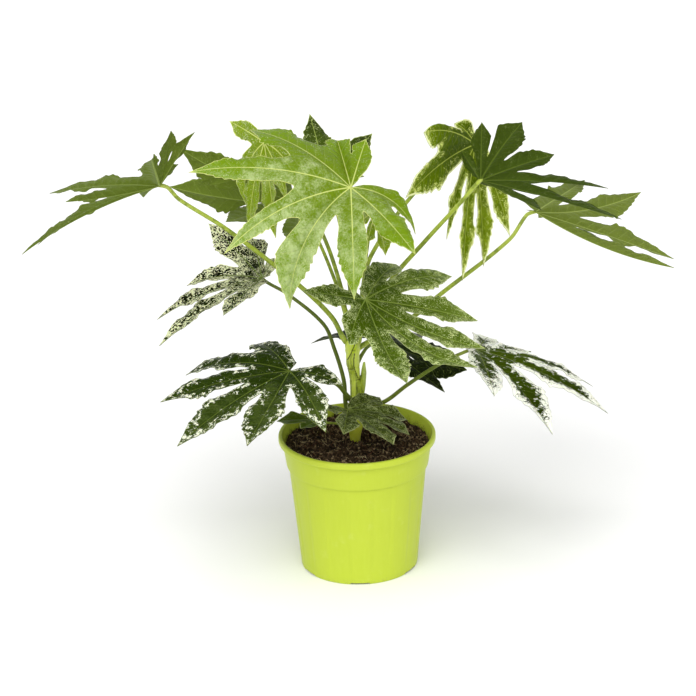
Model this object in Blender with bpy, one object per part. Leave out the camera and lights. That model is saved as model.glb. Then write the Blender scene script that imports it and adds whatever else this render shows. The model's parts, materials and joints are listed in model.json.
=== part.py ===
"""A young fatsia with spider-web variegation, standing in the plastic pot that a nursery sells it in.

Every place and size below is in millimetres, with the middle of the pot's foot as the zero point,
+Z up and the front towards -Y. A mesh is turned into metres where it is made. Once all pieces
stand, they are moved sideways together, so that the origin lies on the ground under the middle
of the plant's whole spread.
"""
import math
from typing import NamedTuple

import bmesh
import bpy
import numpy as np
from mathutils import Vector

MM = 0.001
GAP = 0.3                     # room kept between two pieces that touch

POT_HEIGHT = 151.5
RIM_RADIUS = 85.0
BASE_RADIUS = 63.2
WALL = 2.0
FLOOR_HEIGHT = 4.0            # underside of the raised floor, so that water drains away
FLOOR_THICKNESS = 2.2
POT_SIDES = 48
DRAIN_HOLES = 8
DRAIN_RADIUS = 5.0
DRAIN_CIRCLE = 44.0
FOOT_NOTCHES = 6
FOOT_NOTCH_WIDTH = 21.0
FOOT_NOTCH_HEIGHT = 1.8

SOIL_TOP = 131.0              # beside the stem; the soil is banked up from there to the wall
SOIL_BANK = 9.0
SOIL_CRUMB = 2.4              # how far the soil's surface rises and dips
STEM_FOOT = (-2.0, 27.0)
STEM_RADIUS = 6.0
STEM_DEPTH = 30.0             # how deep the stem stands in the soil
STEM_TOP = 286.0
SIDE_SHOOT = (((1.0, 26.5, 166.0), 2.2), ((4.6, 25.5, 176.0), 2.0), ((7.6, 24.5, 194.0), 2.8),
              ((8.8, 24.0, 212.0), 3.2), ((9.6, 24.0, 224.0), 1.2))
BLADE = 0.7                   # thickness of a leaf blade
PETIOLE_SIDES = 6
BASE_RISE = 40.0              # how steeply a petiole leaves the stem, in degrees
PETIOLE_STEP = 20.0           # how often a petiole has a ring of corners

MIDRIB_STEPS = 6
NOTCH = 0.7                   # half the least width of the bay between two lobes
SINUS_FILL = 0.72             # how much of a lobe's width the bay beside it leaves
MARGIN_RISE = 0.28            # how steeply a lobe's halves rise from its midrib
MARGIN_CURL = 0.0086          # and how soon they bend down again, per millimetre
FLAT_HUB = 32.0               # how far round the hub the blade lies flatter
WAVE_LENGTH = 46.0
WAVE_HEIGHT = 2.2
TOOTH_OUT = 1.08
TOOTH_IN = 0.93
LOBE_OUTLINE = ((0.0, 0.62), (0.15, 0.74), (0.38, 1.0), (0.56, 0.94), (0.74, 0.62), (0.87, 0.28),
                (1.0, 0.0))


class Lobe(NamedTuple):
    """One finger of a leaf. angle: round the hub, from the leaf's downhill side. length: in mm.
    lift: off the leaf's plane. droop: how far it bends down by its tip. twist: round its own
    midrib. Angles are in degrees. width: against the leaf's other lobes. bay: how far out the bay
    after this lobe lies, against what the widths ask for."""
    angle: float
    length: float
    lift: float = 0.0
    droop: float = 10.0
    twist: float = 0.0
    width: float = 1.0
    bay: float = 1.0


class Stalk(NamedTuple):
    """A petiole. height and side: where on the stem its base clasps, the side as a compass
    direction. slope: between stalk and blade at the hub. via: places on its way to the blade."""
    height: float
    side: float
    radius: float
    slope: float
    via: tuple


class Leaf(NamedTuple):
    """hub: where the petiole meets the blade. heading: the compass direction in which the blade
    leans, 0 to the right and 90 to the back. tilt: of its plane. width: of its longest lobe."""
    hub: tuple
    heading: float
    tilt: float
    width: float
    lobes: tuple
    stalk: Stalk
    finish: str


LEAVES = {
    "crown_front": Leaf((-1, -100, 468), -78, 21, 43, (
        Lobe(-204, 72, 9, 7, 0, 1, 1.7), Lobe(-183, 86, -3, 5, 0, 1.2, 1.9), Lobe(-145, 141, 19, 45, 0, 1, 1.9),
        Lobe(-107, 171, 20, 36, 0, 0.6, 1.85), Lobe(-82, 153, 6, 45, 0, 0.45, 1.3),
        Lobe(-58, 152, -5, 75, 0, 1.15, 1.1), Lobe(-11, 131, 6, 75, 0, 1.05), Lobe(27, 110, 4, 21, 0, 1, 1.8),
        Lobe(77, 90, 4, 75)), Stalk(274, -95, 2.3, 50, ((1, 4, 326), (2, -30, 395), (1, -68, 436))), "lime"),
    "crown_left": Leaf((-91, 30, 474), -130, 50, 32, (
        Lobe(-107, 73, -10, 7, 0, 0.75), Lobe(-60, 100, -25, 80), Lobe(-18, 112, -30, 45),
        Lobe(19, 107, -30, 30), Lobe(53, 70, -10, 40), Lobe(84, 68, 5, 70)),
        Stalk(270, 178, 2.1, 45, ((-13, 28, 307), (-29, 28, 363), (-60, 34, 430))), "lime"),
    "crown_back": Leaf((-25, 60, 419), -92, 16, 28, (
        Lobe(118, 44, -6, 10), Lobe(155, 109, -4, 0), Lobe(192, 106, 9, 0), Lobe(226, 84, -6, 0),
        Lobe(258, 34, -6, 10)), Stalk(282, 110, 2.0, 50, ((-6, 42, 322), (-13, 50, 372))), "olive"),
    "crown_young": Leaf((25, -45, 422), -37, 56, 20, (
        Lobe(-92, 32, 6, 20), Lobe(-58, 41, 0, 20), Lobe(-20, 49, 0, 20), Lobe(16, 41, 4, 20),
        Lobe(53, 30, 6, 20)), Stalk(286, -40, 1.5, 50, ((12, 8, 336), (18, -12, 384))), "lime"),
    "left_back": Leaf((-58, 100, 382), 59, 40, 45, (
        Lobe(20, 136, -12, 0), Lobe(64, 130, -8, 3), Lobe(103, 143, -16, -17, 30),
        Lobe(139, 149, -8, -18, 30), Lobe(180, 80, 0, 0), Lobe(215, 58, 0, 0)),
        Stalk(256, 138, 1.9, 40, ((-17, 42, 302), (-34, 66, 342))), "olive"),
    "left_high": Leaf((-202, 5, 438), 145, 37, 40, (
        Lobe(-30, 60, 11, 20), Lobe(15, 190, 15, 20, 0, 0.65), Lobe(34, 150, 21, 33, 0, 0.85),
        Lobe(66, 108, 13, -9, 0, 1.3, 1.5), Lobe(100, 174, 18, 14, 0, 1, 1.3), Lobe(135, 120, 8, 0, 0, 1, 1.4),
        Lobe(168, 82, 33, 26), Lobe(198, 71, 26, 15), Lobe(230, 32, 26, 29)),
        Stalk(240, 187, 2.4, 35, ((-24, 25, 276), (-58, 21, 315), (-132, 13, 383), (-182, 7, 421))), "olive"),
    "left_mid": Leaf((-99, 70, 305), -168, 8, 34, (
        Lobe(-128, 36, 15, 0, 0, 1, 1.4), Lobe(-98, 90, 22, 29, 0, 1.15, 1.6), Lobe(-75, 125, 18, 8, 0, 0.85),
        Lobe(-45, 105, 6, 31), Lobe(-12, 125, 1, 29), Lobe(23, 143, 1, 24), Lobe(56, 104, 7, 9)),
        Stalk(160, 180, 2.1, 35, ((-13, 28, 202), (-22, 36, 234), (-33, 42, 261), (-70, 58, 290))),
        "speckled"),
    "left_low": Leaf((-70, -50, 246), -159, 9, 42, (
        Lobe(-92, 104, 13, 35, 0, 1, 1.5), Lobe(-54, 140, 12, 40), Lobe(-15, 141, 7, 18, 0, 1.05),
        Lobe(19, 159, 4, 21), Lobe(50, 143, -5, 0), Lobe(90, 112, 2, 34), Lobe(123, 72, 9, 27, 0, 1.1)),
        Stalk(175, -131, 2.2, 45, ((-20, 8, 205), (-46, -24, 230))), "dark_flecked"),
    "centre_front": Leaf((12, -70, 333), -46, 32, 45, (
        Lobe(-108, 86, 13, 0, 0, 0.8), Lobe(-64, 62, 6, 46, 0, 1.2, 2.0), Lobe(-22, 147, -5, -41, 0, 0.8),
        Lobe(3, 168, -4, -54, 0, 0.6), Lobe(25, 138, -2, -28, 0, 0.8), Lobe(58, 128, 4, 10),
        Lobe(96, 134, 8, 31), Lobe(120, 97, 2, 30)), Stalk(246, -80, 2.3, 50, ((4, 0, 280), (8, -38, 312))),
        "mottled"),
    "centre_back": Leaf((22, 70, 234), 6, 10, 36, (
        Lobe(-38, 101, -19, 0, 20, 0.8), Lobe(0, 112, -22, -18, 30, 1.3), Lobe(50, 108, -10, 5),
        Lobe(98, 96, -4, 20), Lobe(145, 83, -10, 26)), Stalk(212, 60, 1.9, 45, ((12, 52, 228),)), "dark"),
    "right_low": Leaf((129, 0, 246), -1, 21, 44, (
        Lobe(-86, 113, 14, 33), Lobe(-54, 145, 6, 32, 0, 1.25), Lobe(-9, 159, 8, 26), Lobe(18, 150, 8, 27),
        Lobe(45, 98, -3, 4), Lobe(75, 85, -10, -3), Lobe(112, 40, -4, -5)),
        Stalk(160, -12, 2.1, 35, ((32, 23, 178), (55, 18, 198), (91, 9, 226))), "white_edged"),
    "right_high": Leaf((136, 0, 438), 63, 46, 40, (
        Lobe(-203, 41, 19, 0), Lobe(-168, 81, 21, -9), Lobe(-147, 114, 20, 18), Lobe(-115, 97, 17, 9, 0, 1.1),
        Lobe(-83, 135, 14, 12, 25), Lobe(-52, 162, 11, 6, 20), Lobe(-28, 90, 7, 0, 15)),
        Stalk(252, -10, 2.4, 35, ((37, 25, 313), (78, 20, 364), (115, 6, 411))), "olive"),
    "right_drooping": Leaf((133, 75, 451), -45, 76, 34, (
        Lobe(-154, 46, 6, 64, 0, 1.4, 1.8), Lobe(-127, 110, 16, 40, 0, 1.35, 1.75),
        Lobe(-93, 147, 14, 24, 0, 1.15), Lobe(-52, 114, 0, 50, 0, 0.8), Lobe(-25, 154, -1, 35, 0, 0.8),
        Lobe(-3, 150, -3, 45, 0, 0.9), Lobe(20, 118, 3, 31, 0, 0.9)),
        Stalk(266, 22, 2.2, 45, ((9, 32, 300), (20, 38, 342), (73, 62, 409))), "lime"),
    "right_far": Leaf((202, 160, 343), 62, 34, 38, (
        Lobe(-141, 164, 5, 0, 0, 0.8), Lobe(-112, 170, -2, -22), Lobe(-85, 168, -7, 4),
        Lobe(-52, 170, -17, -28), Lobe(-20, 139, -2, -7), Lobe(4, 135, 9, 10)),
        Stalk(230, 33, 2.4, 35, ((63, 63, 259), (94, 85, 276), (172, 140, 317))), "olive"),
    "base_front": Leaf((-9, -22, 188), 1, 17, 34, (
        Lobe(-131, 41, 14, 10, 0, 1.1, 1.2), Lobe(-98, 62, 6, 20, 0, 1, 1.2), Lobe(-52, 77, 8, 20, 0, 1, 1.3),
        Lobe(-18, 72, 8, 20, 0, 1, 1.3), Lobe(18, 72, 7, 20, 0, 1, 1.3), Lobe(50, 54, 12, 10, 0, 1.1)),
        Stalk(150, -100, 1.6, 50, ((-6, 4, 170),)), "mottled"),
    "base_left": Leaf((-37, -4, 169), 179, 2, 26, (
        Lobe(-54, 30, 4, 0, 0, 0.9, 1.6), Lobe(-8, 50, 3, 10, 0, 1.1, 1.6), Lobe(32, 28, 0, 10, 0, 0.9)),
        Stalk(141, -150, 1.4, 45, ((-20, 10, 158),)), "dark"),
}

FINISHES = {
    "lime": ((0.30, 0.47, 0.07, 1.0), 0.42),
    "mottled": ((0.16, 0.27, 0.08, 1.0), 0.42),
    "speckled": ((0.24, 0.32, 0.14, 1.0), 0.45),
    "dark_flecked": ((0.09, 0.18, 0.06, 1.0), 0.38),
    "white_edged": ((0.14, 0.22, 0.08, 1.0), 0.40),
    "dark": ((0.06, 0.13, 0.04, 1.0), 0.38),
    "olive": ((0.16, 0.25, 0.06, 1.0), 0.48),
    "petiole": ((0.33, 0.46, 0.10, 1.0), 0.45),
    "stem": ((0.36, 0.45, 0.10, 1.0), 0.50),
    "pot": ((0.55, 0.72, 0.04, 1.0), 0.35),
    "soil": ((0.028, 0.016, 0.010, 1.0), 0.95),
}


def clear_scene():
    for old in list(bpy.data.objects):
        bpy.data.objects.remove(old, do_unlink=True)


def finish(name):
    """The material for one kind of surface, made once."""
    made = bpy.data.materials.get(name)
    if made:
        return made
    colour, roughness = FINISHES[name]
    made = bpy.data.materials.new(name)
    made.use_nodes = True
    shader = made.node_tree.nodes["Principled BSDF"]
    shader.inputs["Base Color"].default_value = colour
    shader.inputs["Roughness"].default_value = roughness
    shader.inputs["Metallic"].default_value = 0.0
    return made


def add_object(name, bm, material):
    """Turns a bmesh in millimetres into an object in metres."""
    bmesh.ops.scale(bm, vec=(MM, MM, MM), verts=bm.verts)
    bm.normal_update()
    mesh = bpy.data.meshes.new(name)
    bm.to_mesh(mesh)
    bm.free()
    made = bpy.data.objects.new(name, mesh)
    bpy.context.collection.objects.link(made)
    made.data.materials.append(finish(material))
    return made


def polar(angle, radius, height):
    turn = math.radians(angle)
    return Vector((radius * math.cos(turn), radius * math.sin(turn), height))


def direction(compass, rise):
    return polar(compass, math.cos(math.radians(rise)), math.sin(math.radians(rise)))


def ease(t):
    """Runs from 0 to 1 with no slope at either end."""
    return t * t * (3 - 2 * t)


def leaf_axes(leaf):
    """The blade's normal, its downhill direction and the direction a quarter turn on from that."""
    normal = direction(leaf.heading, 90 - leaf.tilt)
    downhill = direction(leaf.heading, -leaf.tilt)
    return np.array(normal), np.array(downhill), np.array(normal.cross(downhill))


class Blade:
    """A leaf blade laid out flat round its hub and then bent: flat places are a distance from the
    hub and an angle round it, and every lobe has its own direction and its own bend. Past the
    outermost lobes one more guide on each side brings the blade back to the leaf's plane."""

    def __init__(self, leaf):
        normal, downhill, side = leaf_axes(leaf)
        self.leaf = leaf
        self.hub = np.array(leaf.hub, float)
        self.normal = normal
        first, last = leaf.lobes[0], leaf.lobes[-1]
        guides = (first._replace(angle=first.angle - 60, lift=0.3 * first.lift), *leaf.lobes,
                  last._replace(angle=last.angle + 60, lift=0.3 * last.lift))
        turn = np.radians([guide.angle for guide in guides])
        lift = np.radians([guide.lift for guide in guides])
        flat = np.cos(turn)[:, None] * downhill + np.sin(turn)[:, None] * side
        self.rays = np.cos(lift)[:, None] * flat + np.sin(lift)[:, None] * normal
        between = (self.rays[:-1] * self.rays[1:]).sum(1).clip(-1, 1)
        self.spread = np.arccos(between)
        self.guides = np.concatenate(([0.0], np.cumsum(self.spread)))
        self.angles = self.guides[1:-1]
        self.lengths = np.array([lobe.length for lobe in leaf.lobes], float)
        self.bends = np.radians([guide.droop / guide.length for guide in guides])
        self.bends[np.abs(self.bends) < 1e-5] = 1e-5
        longest = self.lengths.max()
        self.twists = np.radians([lobe.twist for lobe in leaf.lobes])
        self.half_widths = leaf.width / 2 * (self.lengths / longest) ** 0.6
        self.half_widths *= [lobe.width for lobe in leaf.lobes]

    def place(self, radius, angle):
        """Where a flat place comes to lie, for arrays of places."""
        radius, angle = np.broadcast_arrays(np.asarray(radius, float), np.asarray(angle, float))
        last = len(self.spread) - 1
        part = np.clip(np.searchsorted(self.guides, angle) - 1, 0, last)
        share = (angle - self.guides[part]) / self.spread[part]
        spread = self.spread[part]
        before = np.sin((1 - share) * spread) / np.sin(spread)
        after = np.sin(share * spread) / np.sin(spread)
        ray = before[..., None] * self.rays[part] + after[..., None] * self.rays[part + 1]
        mix = ease(np.clip(share, 0, 1))
        bend = self.bends[part] * (1 - mix) + self.bends[part + 1] * mix
        down = np.array((0, 0, -1.0))
        sag = down - (ray @ down)[..., None] * ray
        turn = bend * radius
        out = np.where(np.abs(turn) < 1e-6, radius, np.sin(turn) / bend)
        drop = np.where(np.abs(turn) < 1e-6, 0.0, (1 - np.cos(turn)) / bend)
        return self.hub + out[..., None] * ray + drop[..., None] * sag

    def facing(self, radius, angle):
        """The blade's upward normal at a flat place."""
        step = 0.01
        radius = np.maximum(np.asarray(radius, float), 0.5)
        outward = self.place(radius + step, angle) - self.place(radius - step, angle)
        round_hub = self.place(radius, angle + step) - self.place(radius, angle - step)
        found = np.cross(outward, round_hub)
        return found / np.linalg.norm(found, axis=-1, keepdims=True)

    def raised(self, lobe, along, across, free):
        """A place on one lobe, given along and across its midrib, with the blade's relief.
        free is 0 inside the undivided middle and 1 on the free part of the lobe."""
        width = np.abs(across)
        lift = (MARGIN_RISE * width - MARGIN_CURL * width ** 2) * ease(np.minimum(1, along / FLAT_HUB))
        twist = self.twists[lobe] * free
        across, lift = (across * np.cos(twist) - lift * np.sin(twist),
                        across * np.sin(twist) + lift * np.cos(twist))
        radius = np.hypot(along, across)
        angle = self.angles[lobe] + np.arctan2(across, np.maximum(along, 1e-6))
        phase = 1.7 * lobe + np.where(np.asarray(across) > 0, 0.0, 2.4)
        wave = np.sin(2 * math.pi * np.asarray(along) / WAVE_LENGTH + phase)
        lift = lift + WAVE_HEIGHT * wave * free * (width / self.half_widths[lobe]) ** 2
        return self.place(radius, angle) + lift[..., None] * self.facing(radius, angle)

    def sinus(self, lobe, side):
        """Half the angle to the neighbour on one side, and how far out the bay between them lies.
        Past the outermost lobes the blade only rounds the gap where the petiole comes in."""
        other = lobe + side
        if 0 <= other < len(self.lengths):
            half = abs(self.angles[other] - self.angles[lobe]) / 2
            shorter = min(self.lengths[lobe], self.lengths[other])
            width = (self.half_widths[lobe] + self.half_widths[other]) / 2
            bay = self.leaf.lobes[min(lobe, other)].bay
            reach = bay * SINUS_FILL * width / math.sin(half)
            return half, min(max(reach, 0.22 * shorter), 0.42 * shorter * max(1.0, bay))
        around = self.leaf.lobes[-1].angle - self.leaf.lobes[0].angle
        return math.radians(min(48, (360 - around) / 2 - 14)), max(10.0, 0.16 * self.lengths[lobe])

    def half_width(self, lobe, side, share, tooth):
        """A lobe's half width, at a share of the way from the bay to the tip. tooth widens or
        narrows it, but never past the middle of the bay."""
        half, reach = self.sinus(lobe, side)
        full = self.half_widths[lobe]
        outline = np.interp(share, *zip(*LOBE_OUTLINE)) * full
        start = reach * math.sin(half)
        width = outline + (start - LOBE_OUTLINE[0][1] * full) * (1 - share) ** 6
        along = reach * math.cos(half) * (1 - share) + self.lengths[lobe] * share
        room = 0.94 * (along * math.tan(min(half, 1.2)) - NOTCH * min(1.0, 12 * share))
        return along, np.minimum(width * tooth, room)

    def margin(self, lobe, side):
        """The lobe's edge on one side, from the bay to just short of the tip, as a row of
        forward-pointing teeth."""
        length = self.lengths[lobe]
        teeth = 5 if length > 100 else 4 if length > 60 else 3
        shares = [(0.04, 0.9)]
        for tooth in range(teeth):
            tip = 0.22 + 0.68 * (tooth + 0.5) / teeth
            shares.append((tip, TOOTH_OUT))
            shares.append((tip + 0.16 / teeth, TOOTH_IN))
        points = []
        for share, tooth in shares:
            along, width = self.half_width(lobe, side, share, tooth)
            points.append((share, along, side * width))
        return points


def add_blade(name, leaf):
    """A leaf blade as one thin waved sheet, with the same triangles on both faces."""
    blade = Blade(leaf)
    bm = bmesh.new()
    hub = bm.verts.new(blade.hub)
    count = len(leaf.lobes)

    def vertex(lobe, along, across, free):
        return bm.verts.new(blade.raised(lobe, np.array(along), np.array(across), free))

    bays = {}
    for lobe in range(-1, count):
        owner, side = (0, -1) if lobe < 0 else (lobe, 1)
        half, reach = blade.sinus(owner, side)
        chain = []
        for share in (0.5, 1.0):
            along = share * reach * math.cos(half)
            chain.append((along, vertex(owner, along, side * share * reach * math.sin(half), 0.0)))
        bays[lobe] = chain

    for lobe in range(count):
        length = blade.lengths[lobe]
        tip = vertex(lobe, length, 0.0, 1.0)
        midrib = [(0.0, hub)]
        for step in range(1, MIDRIB_STEPS):
            along = length * step / MIDRIB_STEPS
            midrib.append((along, vertex(lobe, along, 0.0, 1.0)))
        midrib.append((length, tip))
        for side in (-1, 1):
            edge = [(0.0, hub)] + bays[lobe if side > 0 else lobe - 1]
            for share, along, across in blade.margin(lobe, side):
                edge.append((along, vertex(lobe, along, across, ease(min(1.0, 2.5 * share)))))
            edge.append((length, tip))
            fill_strip(bm, midrib, edge, side)
    made = add_object(name, bm, leaf.finish)
    thick = made.modifiers.new("thickness", "SOLIDIFY")
    thick.thickness = BLADE * MM
    thick.offset = -1.0
    rim = made.modifiers.new("rim", "TRIANGULATE")
    rim.keep_custom_normals = False
    apply_modifiers(made)


def fill_strip(bm, midrib, edge, side):
    """Fills the half of a lobe between its midrib and its edge with triangles."""
    i = j = 0
    while i < len(midrib) - 1 or j < len(edge) - 1:
        rib_next = i < len(midrib) - 1
        if rib_next and j < len(edge) - 1:
            rib_next = i == 0 or midrib[i + 1][0] < edge[j + 1][0]
        ahead = midrib[i + 1][1] if rib_next else edge[j + 1][1]
        corners = [midrib[i][1], edge[j][1], ahead]
        i, j = (i + 1, j) if rib_next else (i, j + 1)
        if len(set(corners)) == 3:
            bm.faces.new(corners if side < 0 else corners[::-1])


def stem_centre(height):
    """The stem's centre line, which leans a little and has a knee half way up."""
    share = (height - SOIL_TOP) / (STEM_TOP - SOIL_TOP)
    knee = 3.0 * math.exp(-((height - 226.0) / 16.0) ** 2)
    return Vector((STEM_FOOT[0] + 3.0 * share - knee, STEM_FOOT[1], height))


def petiole_start(leaf):
    """Where a leaf's petiole leaves its clasping base on the stem, and in which direction."""
    centre = stem_centre(leaf.stalk.height)
    away = direction(leaf.stalk.side, BASE_RISE)
    return centre + away * (STEM_RADIUS + 3.0 + 2 * leaf.stalk.radius), away


def petiole_path(leaf):
    """The petiole's centre line, from its base by way of its places to just under the blade."""
    start, away = petiole_start(leaf)
    normal = direction(leaf.heading, 90 - leaf.tilt)
    lowest = min(lobe.lift for lobe in leaf.lobes)
    clear = BLADE + GAP + leaf.stalk.radius * math.tan(math.radians(max(0.0, 2 - lowest)))
    end = Vector(leaf.hub) - normal * clear
    back = Vector(leaf.stalk.via[-1]) - end
    level = (back - normal * back.dot(normal)).normalized()
    slope = math.radians(leaf.stalk.slope)
    arrive = normal * math.sin(slope) - level * math.cos(slope)
    knots = [start + away * GAP] + [Vector(place) for place in leaf.stalk.via]
    knots += [end - arrive * 9 * leaf.stalk.radius / 2.2, end]
    knots = [knots[0] - away * 20] + knots + [end + arrive * 20]
    path = []
    for a, b, c, d in zip(knots, knots[1:], knots[2:], knots[3:]):
        steps = max(1, round((c - b).length / PETIOLE_STEP))
        for step in range(steps):
            path.append(smooth_between(a, b, c, d, step / steps))
    return path + [end], away, arrive, normal


def smooth_between(a, b, c, d, share):
    """A place between b and c on the smooth line through all four."""
    span = (c - b).length
    leave = (c - a) * span / ((b - a).length + span)
    reach = (d - b) * span / ((d - c).length + span)
    u = share
    line = b * (2 * u ** 3 - 3 * u ** 2 + 1) + c * (3 * u ** 2 - 2 * u ** 3)
    return line + leave * (u ** 3 - 2 * u ** 2 + u) + reach * (u ** 3 - u ** 2)


def add_petiole(name, leaf):
    """A leaf stalk, a little thicker at its foot, cut off along the blade at its head."""
    path, away, arrive, normal = petiole_path(leaf)
    radius = leaf.stalk.radius
    bm = bmesh.new()
    across = away.orthogonal().normalized()
    rings = []
    for step, centre in enumerate(path):
        if step == 0:
            tangent = away
        elif step == len(path) - 1:
            tangent = arrive
        else:
            tangent = (path[step + 1] - path[step - 1]).normalized()
        across = (across - tangent * across.dot(tangent)).normalized()
        other = tangent.cross(across)
        share = step / (len(path) - 1)
        size = radius * (1.15 - 0.3 * share)
        ring = []
        for k in range(PETIOLE_SIDES):
            turn = 2 * math.pi * k / PETIOLE_SIDES
            point = centre + (across * math.cos(turn) + other * math.sin(turn)) * size
            if step == len(path) - 1:
                point -= tangent * ((point - centre).dot(normal) / tangent.dot(normal))
            ring.append(bm.verts.new(point))
        rings.append(ring)
    for lower, upper in zip(rings, rings[1:]):
        for k in range(PETIOLE_SIDES):
            n = (k + 1) % PETIOLE_SIDES
            bm.faces.new((lower[k], lower[n], upper[n], upper[k]))
    bm.faces.new(rings[0][::-1])
    bm.faces.new(rings[-1])
    bmesh.ops.triangulate(bm, faces=bm.faces)
    return add_object(name, bm, "petiole")


def round_body(name, rings, sides, material):
    """A closed body through rings given as centre, radius and axis."""
    bm = bmesh.new()
    across = rings[0][2].orthogonal().normalized()
    loops = []
    for centre, radius, axis in rings:
        across = (across - axis * across.dot(axis)).normalized()
        other = axis.cross(across)
        loop = []
        for k in range(sides):
            turn = 2 * math.pi * k / sides
            loop.append(bm.verts.new(centre + (across * math.cos(turn) + other * math.sin(turn)) * radius))
        loops.append(loop)
    for lower, upper in zip(loops, loops[1:]):
        for k in range(sides):
            n = (k + 1) % sides
            bm.faces.new((lower[k], lower[n], upper[n], upper[k]))
    bm.faces.new(loops[0][::-1])
    bm.faces.new(loops[-1])
    return add_object(name, bm, material)


def add_stem():
    """The stem with its knee, its end bud and a clasping base for each petiole, in one piece."""
    up = Vector((0, 0, 1))
    heights = (SOIL_TOP - STEM_DEPTH, 135, 141, 151, 168, 190, 212, 222, 232, 246, 260, 276, STEM_TOP, 294, 299)
    radii = (STEM_RADIUS, STEM_RADIUS, 7.6, 7.2, 5.8, 5.2, 6.0, 7.2, 6.4, 6.4, 6.6, 6.0, 5.0, 3.2, 1.0)
    rings = []
    for height, radius in zip(heights, radii):
        centre = stem_centre(max(height, SOIL_TOP))
        centre.z = height
        rings.append((centre, radius, up))
    stem = round_body("stem", rings, 12, "stem")
    bases = bpy.data.collections.new("petiole bases")
    for name, leaf in LEAVES.items():
        start, away = petiole_start(leaf)
        radius = leaf.stalk.radius
        length = (start - stem_centre(leaf.stalk.height)).length
        steps = ((0.25, 1.7), (0.72, 1.5), (1.0, 1.15))
        rings = [(start - away * length * (1 - share), radius * size, away) for share, size in steps]
        move_to(round_body("base_" + name, rings, 7, "stem"), bases)
    shoot = [(Vector(place), radius, up) for place, radius in SIDE_SHOOT]
    move_to(round_body("side_shoot", shoot, 8, "stem"), bases)
    join = stem.modifiers.new("petiole bases", "BOOLEAN")
    join.operation = "UNION"
    join.operand_type = "COLLECTION"
    join.collection = bases
    join.solver = "EXACT"
    apply_modifiers(stem)
    for base in list(bases.objects):
        bpy.data.objects.remove(base, do_unlink=True)
    bpy.data.collections.remove(bases)


def apply_modifiers(made):
    """Keeps the evaluated shape as the object's own mesh."""
    graph = bpy.context.evaluated_depsgraph_get()
    shaped = bpy.data.meshes.new_from_object(made.evaluated_get(graph))
    made.modifiers.clear()
    made.data = shaped


def spin_profile(bm, profile, sides):
    """Turns a closed profile of radius and height round the Z axis."""
    loops = []
    for k in range(sides):
        loops.append([bm.verts.new(polar(360 * k / sides, radius, height)) for radius, height in profile])
    for k in range(sides):
        here, there = loops[k], loops[(k + 1) % sides]
        for i in range(len(profile) - 1):
            bm.faces.new((here[i], there[i], there[i + 1], here[i + 1]))
    return loops


def outer_wall():
    """The pot's outside from its foot to its rolled rim: a plain taper, a ledge and a collar."""
    return [(BASE_RADIUS, 0.0), (73.2, 104.0), (74.8, 114.2), (77.0, 118.4), (79.8, 138.0), (80.6, 144.5),
            (84.2, 144.1), (RIM_RADIUS, 145.5), (RIM_RADIUS, 149.9), (83.8, POT_HEIGHT)]


def inner_radius(height):
    """The pot's inside at a height above its floor."""
    stations = ((0.0, BASE_RADIUS), (104.0, 73.2), (114.2, 74.8), (118.4, 77.0), (138.0, 79.8),
                (POT_HEIGHT, 82.6))
    heights, radii = zip(*stations)
    return float(np.interp(height, heights, radii)) - WALL


def add_pot():
    """The thin-walled pot, with a raised floor, drain holes and low notches in its foot."""
    floor_top = FLOOR_HEIGHT + FLOOR_THICKNESS
    foot_inside = BASE_RADIUS - 3.4
    outside = outer_wall()
    inside = [(inner_radius(z) + 0.6 * (z == POT_HEIGHT), z)
              for z in (POT_HEIGHT, 138.0, 118.4, 113.2, 104.0, floor_top)]
    bm = bmesh.new()
    profile = [(foot_inside, FLOOR_HEIGHT), (foot_inside, 0.0)] + outside + inside
    loops = spin_profile(bm, profile, POT_SIDES)
    bm.faces.new([loop[0] for loop in loops])
    bm.faces.new([loop[-1] for loop in loops][::-1])
    bmesh.ops.recalc_face_normals(bm, faces=bm.faces)
    pot = add_object("pot", bm, "pot")
    cutters = bpy.data.collections.new("pot cutters")
    for k in range(DRAIN_HOLES):
        centre = polar(360 * (k + 0.5) / DRAIN_HOLES, DRAIN_CIRCLE, 0)
        rings = [(centre + Vector((0, 0, z)), DRAIN_RADIUS, Vector((0, 0, 1))) for z in (1.0, floor_top + 3)]
        move_to(round_body(f"drain_{k}", rings, 10, "pot"), cutters)
    for k in range(FOOT_NOTCHES):
        notch = box("notch", (10.0, FOOT_NOTCH_WIDTH, 2 * FOOT_NOTCH_HEIGHT))
        angle = 360 * k / FOOT_NOTCHES - 90
        notch.location = polar(angle, BASE_RADIUS - 1.5, 0) * MM
        notch.rotation_euler.z = math.radians(angle)
        move_to(notch, cutters)
    bpy.context.view_layer.update()
    cut = pot.modifiers.new("drains and notches", "BOOLEAN")
    cut.operation = "DIFFERENCE"
    cut.operand_type = "COLLECTION"
    cut.collection = cutters
    cut.solver = "EXACT"
    apply_modifiers(pot)
    for cutter in list(cutters.objects):
        bpy.data.objects.remove(cutter, do_unlink=True)
    bpy.data.collections.remove(cutters)


def box(name, size):
    bm = bmesh.new()
    bmesh.ops.create_cube(bm, size=1.0)
    bmesh.ops.scale(bm, vec=size, verts=bm.verts)
    return add_object(name, bm, "pot")


def move_to(made, collection):
    bpy.context.collection.objects.unlink(made)
    collection.objects.link(made)


def soil_height(x, y):
    """The soil's crumbly surface, with a shallow basin round the stem."""
    away = math.hypot(x - STEM_FOOT[0], y - STEM_FOOT[1])
    bank = SOIL_BANK * ease(min(1.0, max(0.0, (away - 9.0) / 32.0)))
    waves = math.sin(0.11 * x + 0.4) * math.cos(0.13 * y) + 0.6 * math.sin(0.23 * x - 0.19 * y + 1.1)
    waves += 0.4 * math.cos(0.37 * y + 0.21 * x)
    return SOIL_TOP + bank + SOIL_CRUMB * waves / 2


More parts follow.
